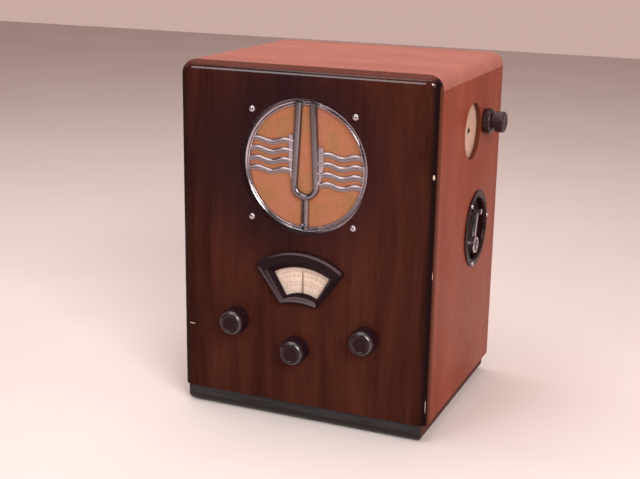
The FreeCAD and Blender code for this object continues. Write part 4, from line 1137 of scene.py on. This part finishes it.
SIDE_FACE = box_mm("right_side_panel")[1].x


def indicator_pivot():
    """The ivory disc's dark centre screw."""
    low, high = box_mm("disc_pivot")
    pivot = pivot_mm("disc_turn")
    tall = high.x - low.x - GAP
    made = screws("disc_pivot_screw", [(low.x, pivot.y, pivot.z)], "+x",
                  [(2, tall - 1.7), (3.2, tall - 1.7, 0.2), (3.2, tall - 0.9, 0.4), (2, tall - 0.15, 0.8),
                   (0, tall)],
                  [(0, 0), (2, 0)], 0.6)
    dress(made, "cabinet", "black_steel", ["disc_pivot"])


def switch_dish():
    """Moulded dish: a rolled flange with a raised bead, a flared wall and a ribbed floor."""
    low, high = box_mm("side_dish")
    middle = (low + high) / 2
    outer = (high.y - low.y) / 2
    hollow = outer - 9.7
    rise = high.x - SIDE_FACE - GAP
    bed = -9
    ribs = [(hollow - 3 - 7 * rib + side * 0.9, bed + up)
            for rib in range(4) for side, up in ((1, 0), (0, 0.35), (-1, 0))]
    profile = rounded([
        (0, bed - 2.5), (hollow + 2, bed - 2.5), (hollow + 2, 0), (outer, 0), (outer, 1.2, 0.8),
        (outer - 1.9, rise - 0.5, 1.2), (outer - 3.0, 1.9, 0.6), (hollow + 4.0, 1.9, 0.6),
        (hollow + 2.6, rise, 1.2), (hollow + 0.9, 1.6, 1.2), (hollow, -0.4, 0.8), (hollow, bed + 2, 0.5),
        (hollow - 1.6, bed, 1.4),
    ] + ribs + [(0, bed)])
    made = piece("switch_dish", *turned(profile, (SIDE_FACE, middle.y, middle.z), "+x", 128))
    pivot = pivot_mm("lever_turn")
    bore = [(0, bed - 4), (3.1, bed - 4), (3.1, bed + 2), (0, bed + 2)]
    hole = turned(bore, (SIDE_FACE, pivot.y, pivot.z), "+x", 40)
    dress(carved(made, piece("spindle_hole", *hole)), "cabinet", "bakelite", ["side_dish"])


def lever_boss_cap():
    """Black cap in the lever's boss, inside its bright rim. It turns with the lever."""
    pivot = pivot_mm("lever_turn")
    base = (SIDE_FACE - 1.0, pivot.y, pivot.z)
    profile = rounded([(6.9, 0), (6.9, 0.8, 0.4), (5.6, 1.5, 0.8), (0, 1.8)], 5)
    dress(piece("lever_boss_cap", *turned(profile, base, "+x", 64)), "switch_lever", "bakelite")


def dish_screws():
    """Three round heads in the dish's flange."""
    low, high = box_mm("dish_screws")
    dish_low, dish_high = box_mm("side_dish")
    middle = (dish_low + dish_high) / 2
    ring = (dish_high.y - dish_low.y) / 2 - 3.8
    turns = [math.radians(angle) for angle in (130, 250, 10)]
    places = [(SIDE_FACE, middle.y + ring * math.cos(turn), middle.z + ring * math.sin(turn))
              for turn in turns]
    top = high.x - SIDE_FACE - GAP
    made = screws("dish_round_heads", places, "+x",
                  [(3, 2.0), (3, 2.8, 0.3), (2.2, top - 0.35, 1.0), (0, top)],
                  [(0, low.x - SIDE_FACE), (1.5, low.x - SIDE_FACE), (1.5, 2.0)], 0.6)
    dress(made, "cabinet", "nickel", ["dish_screws"])


indicator_pivot()
switch_dish()
lever_boss_cap()
dish_screws()

# ---- back of the set


def cover_screws():
    """Six round heads down the rear cover's two sides."""
    low, high = box_mm("cover_screws")
    face = box_mm("rear_cover")[1].y
    head = 4
    lowest = low.z + head
    heights = (lowest, lowest + 150, high.z - head)
    places = [(x, face, z) for x in (low.x + head, high.x - head) for z in heights]
    top = high.y - face - GAP
    made = screws("cover_round_heads", places, "+y",
                  [(head, 0.05), (head, 0.8, 0.4), (head * 0.7, top - 0.5, 1.2), (0, top)],
                  [(0, low.y - face), (1.7, low.y - face), (1.7, 0.05)], 0.8)
    dress(made, "cabinet", "steel", ["cover_screws"])


def mains_grommet():
    """Rubber grommet with a groove that holds it in the back."""
    low, high = box_mm("mains_grommet")
    middle = (low + high) / 2
    outer = (high.x - low.x) / 2
    long = high.y - low.y
    neck = outer - 2
    bore = 3.6
    profile = rounded([
        (bore, 1.4), (bore + 1.4, 0, 1.0), (outer - 1, 0, 0.8), (outer, 1, 0.6), (outer, 2.0), (neck, 2.0),
        (neck, 3.2), (outer, 3.2), (outer, long - 1.2, 1.0), (outer - 1.6, long, 1.2),
        (bore + 1.2, long, 1.0), (bore, long - 1.4, 1.0), (bore, 1.4),
    ])
    made = piece("rubber_grommet", *turned(profile, (middle.x, low.y, middle.z), "+y", 64))
    dress(made, "cabinet", "rubber", ["mains_grommet"])


cover_screws()
mains_grommet()
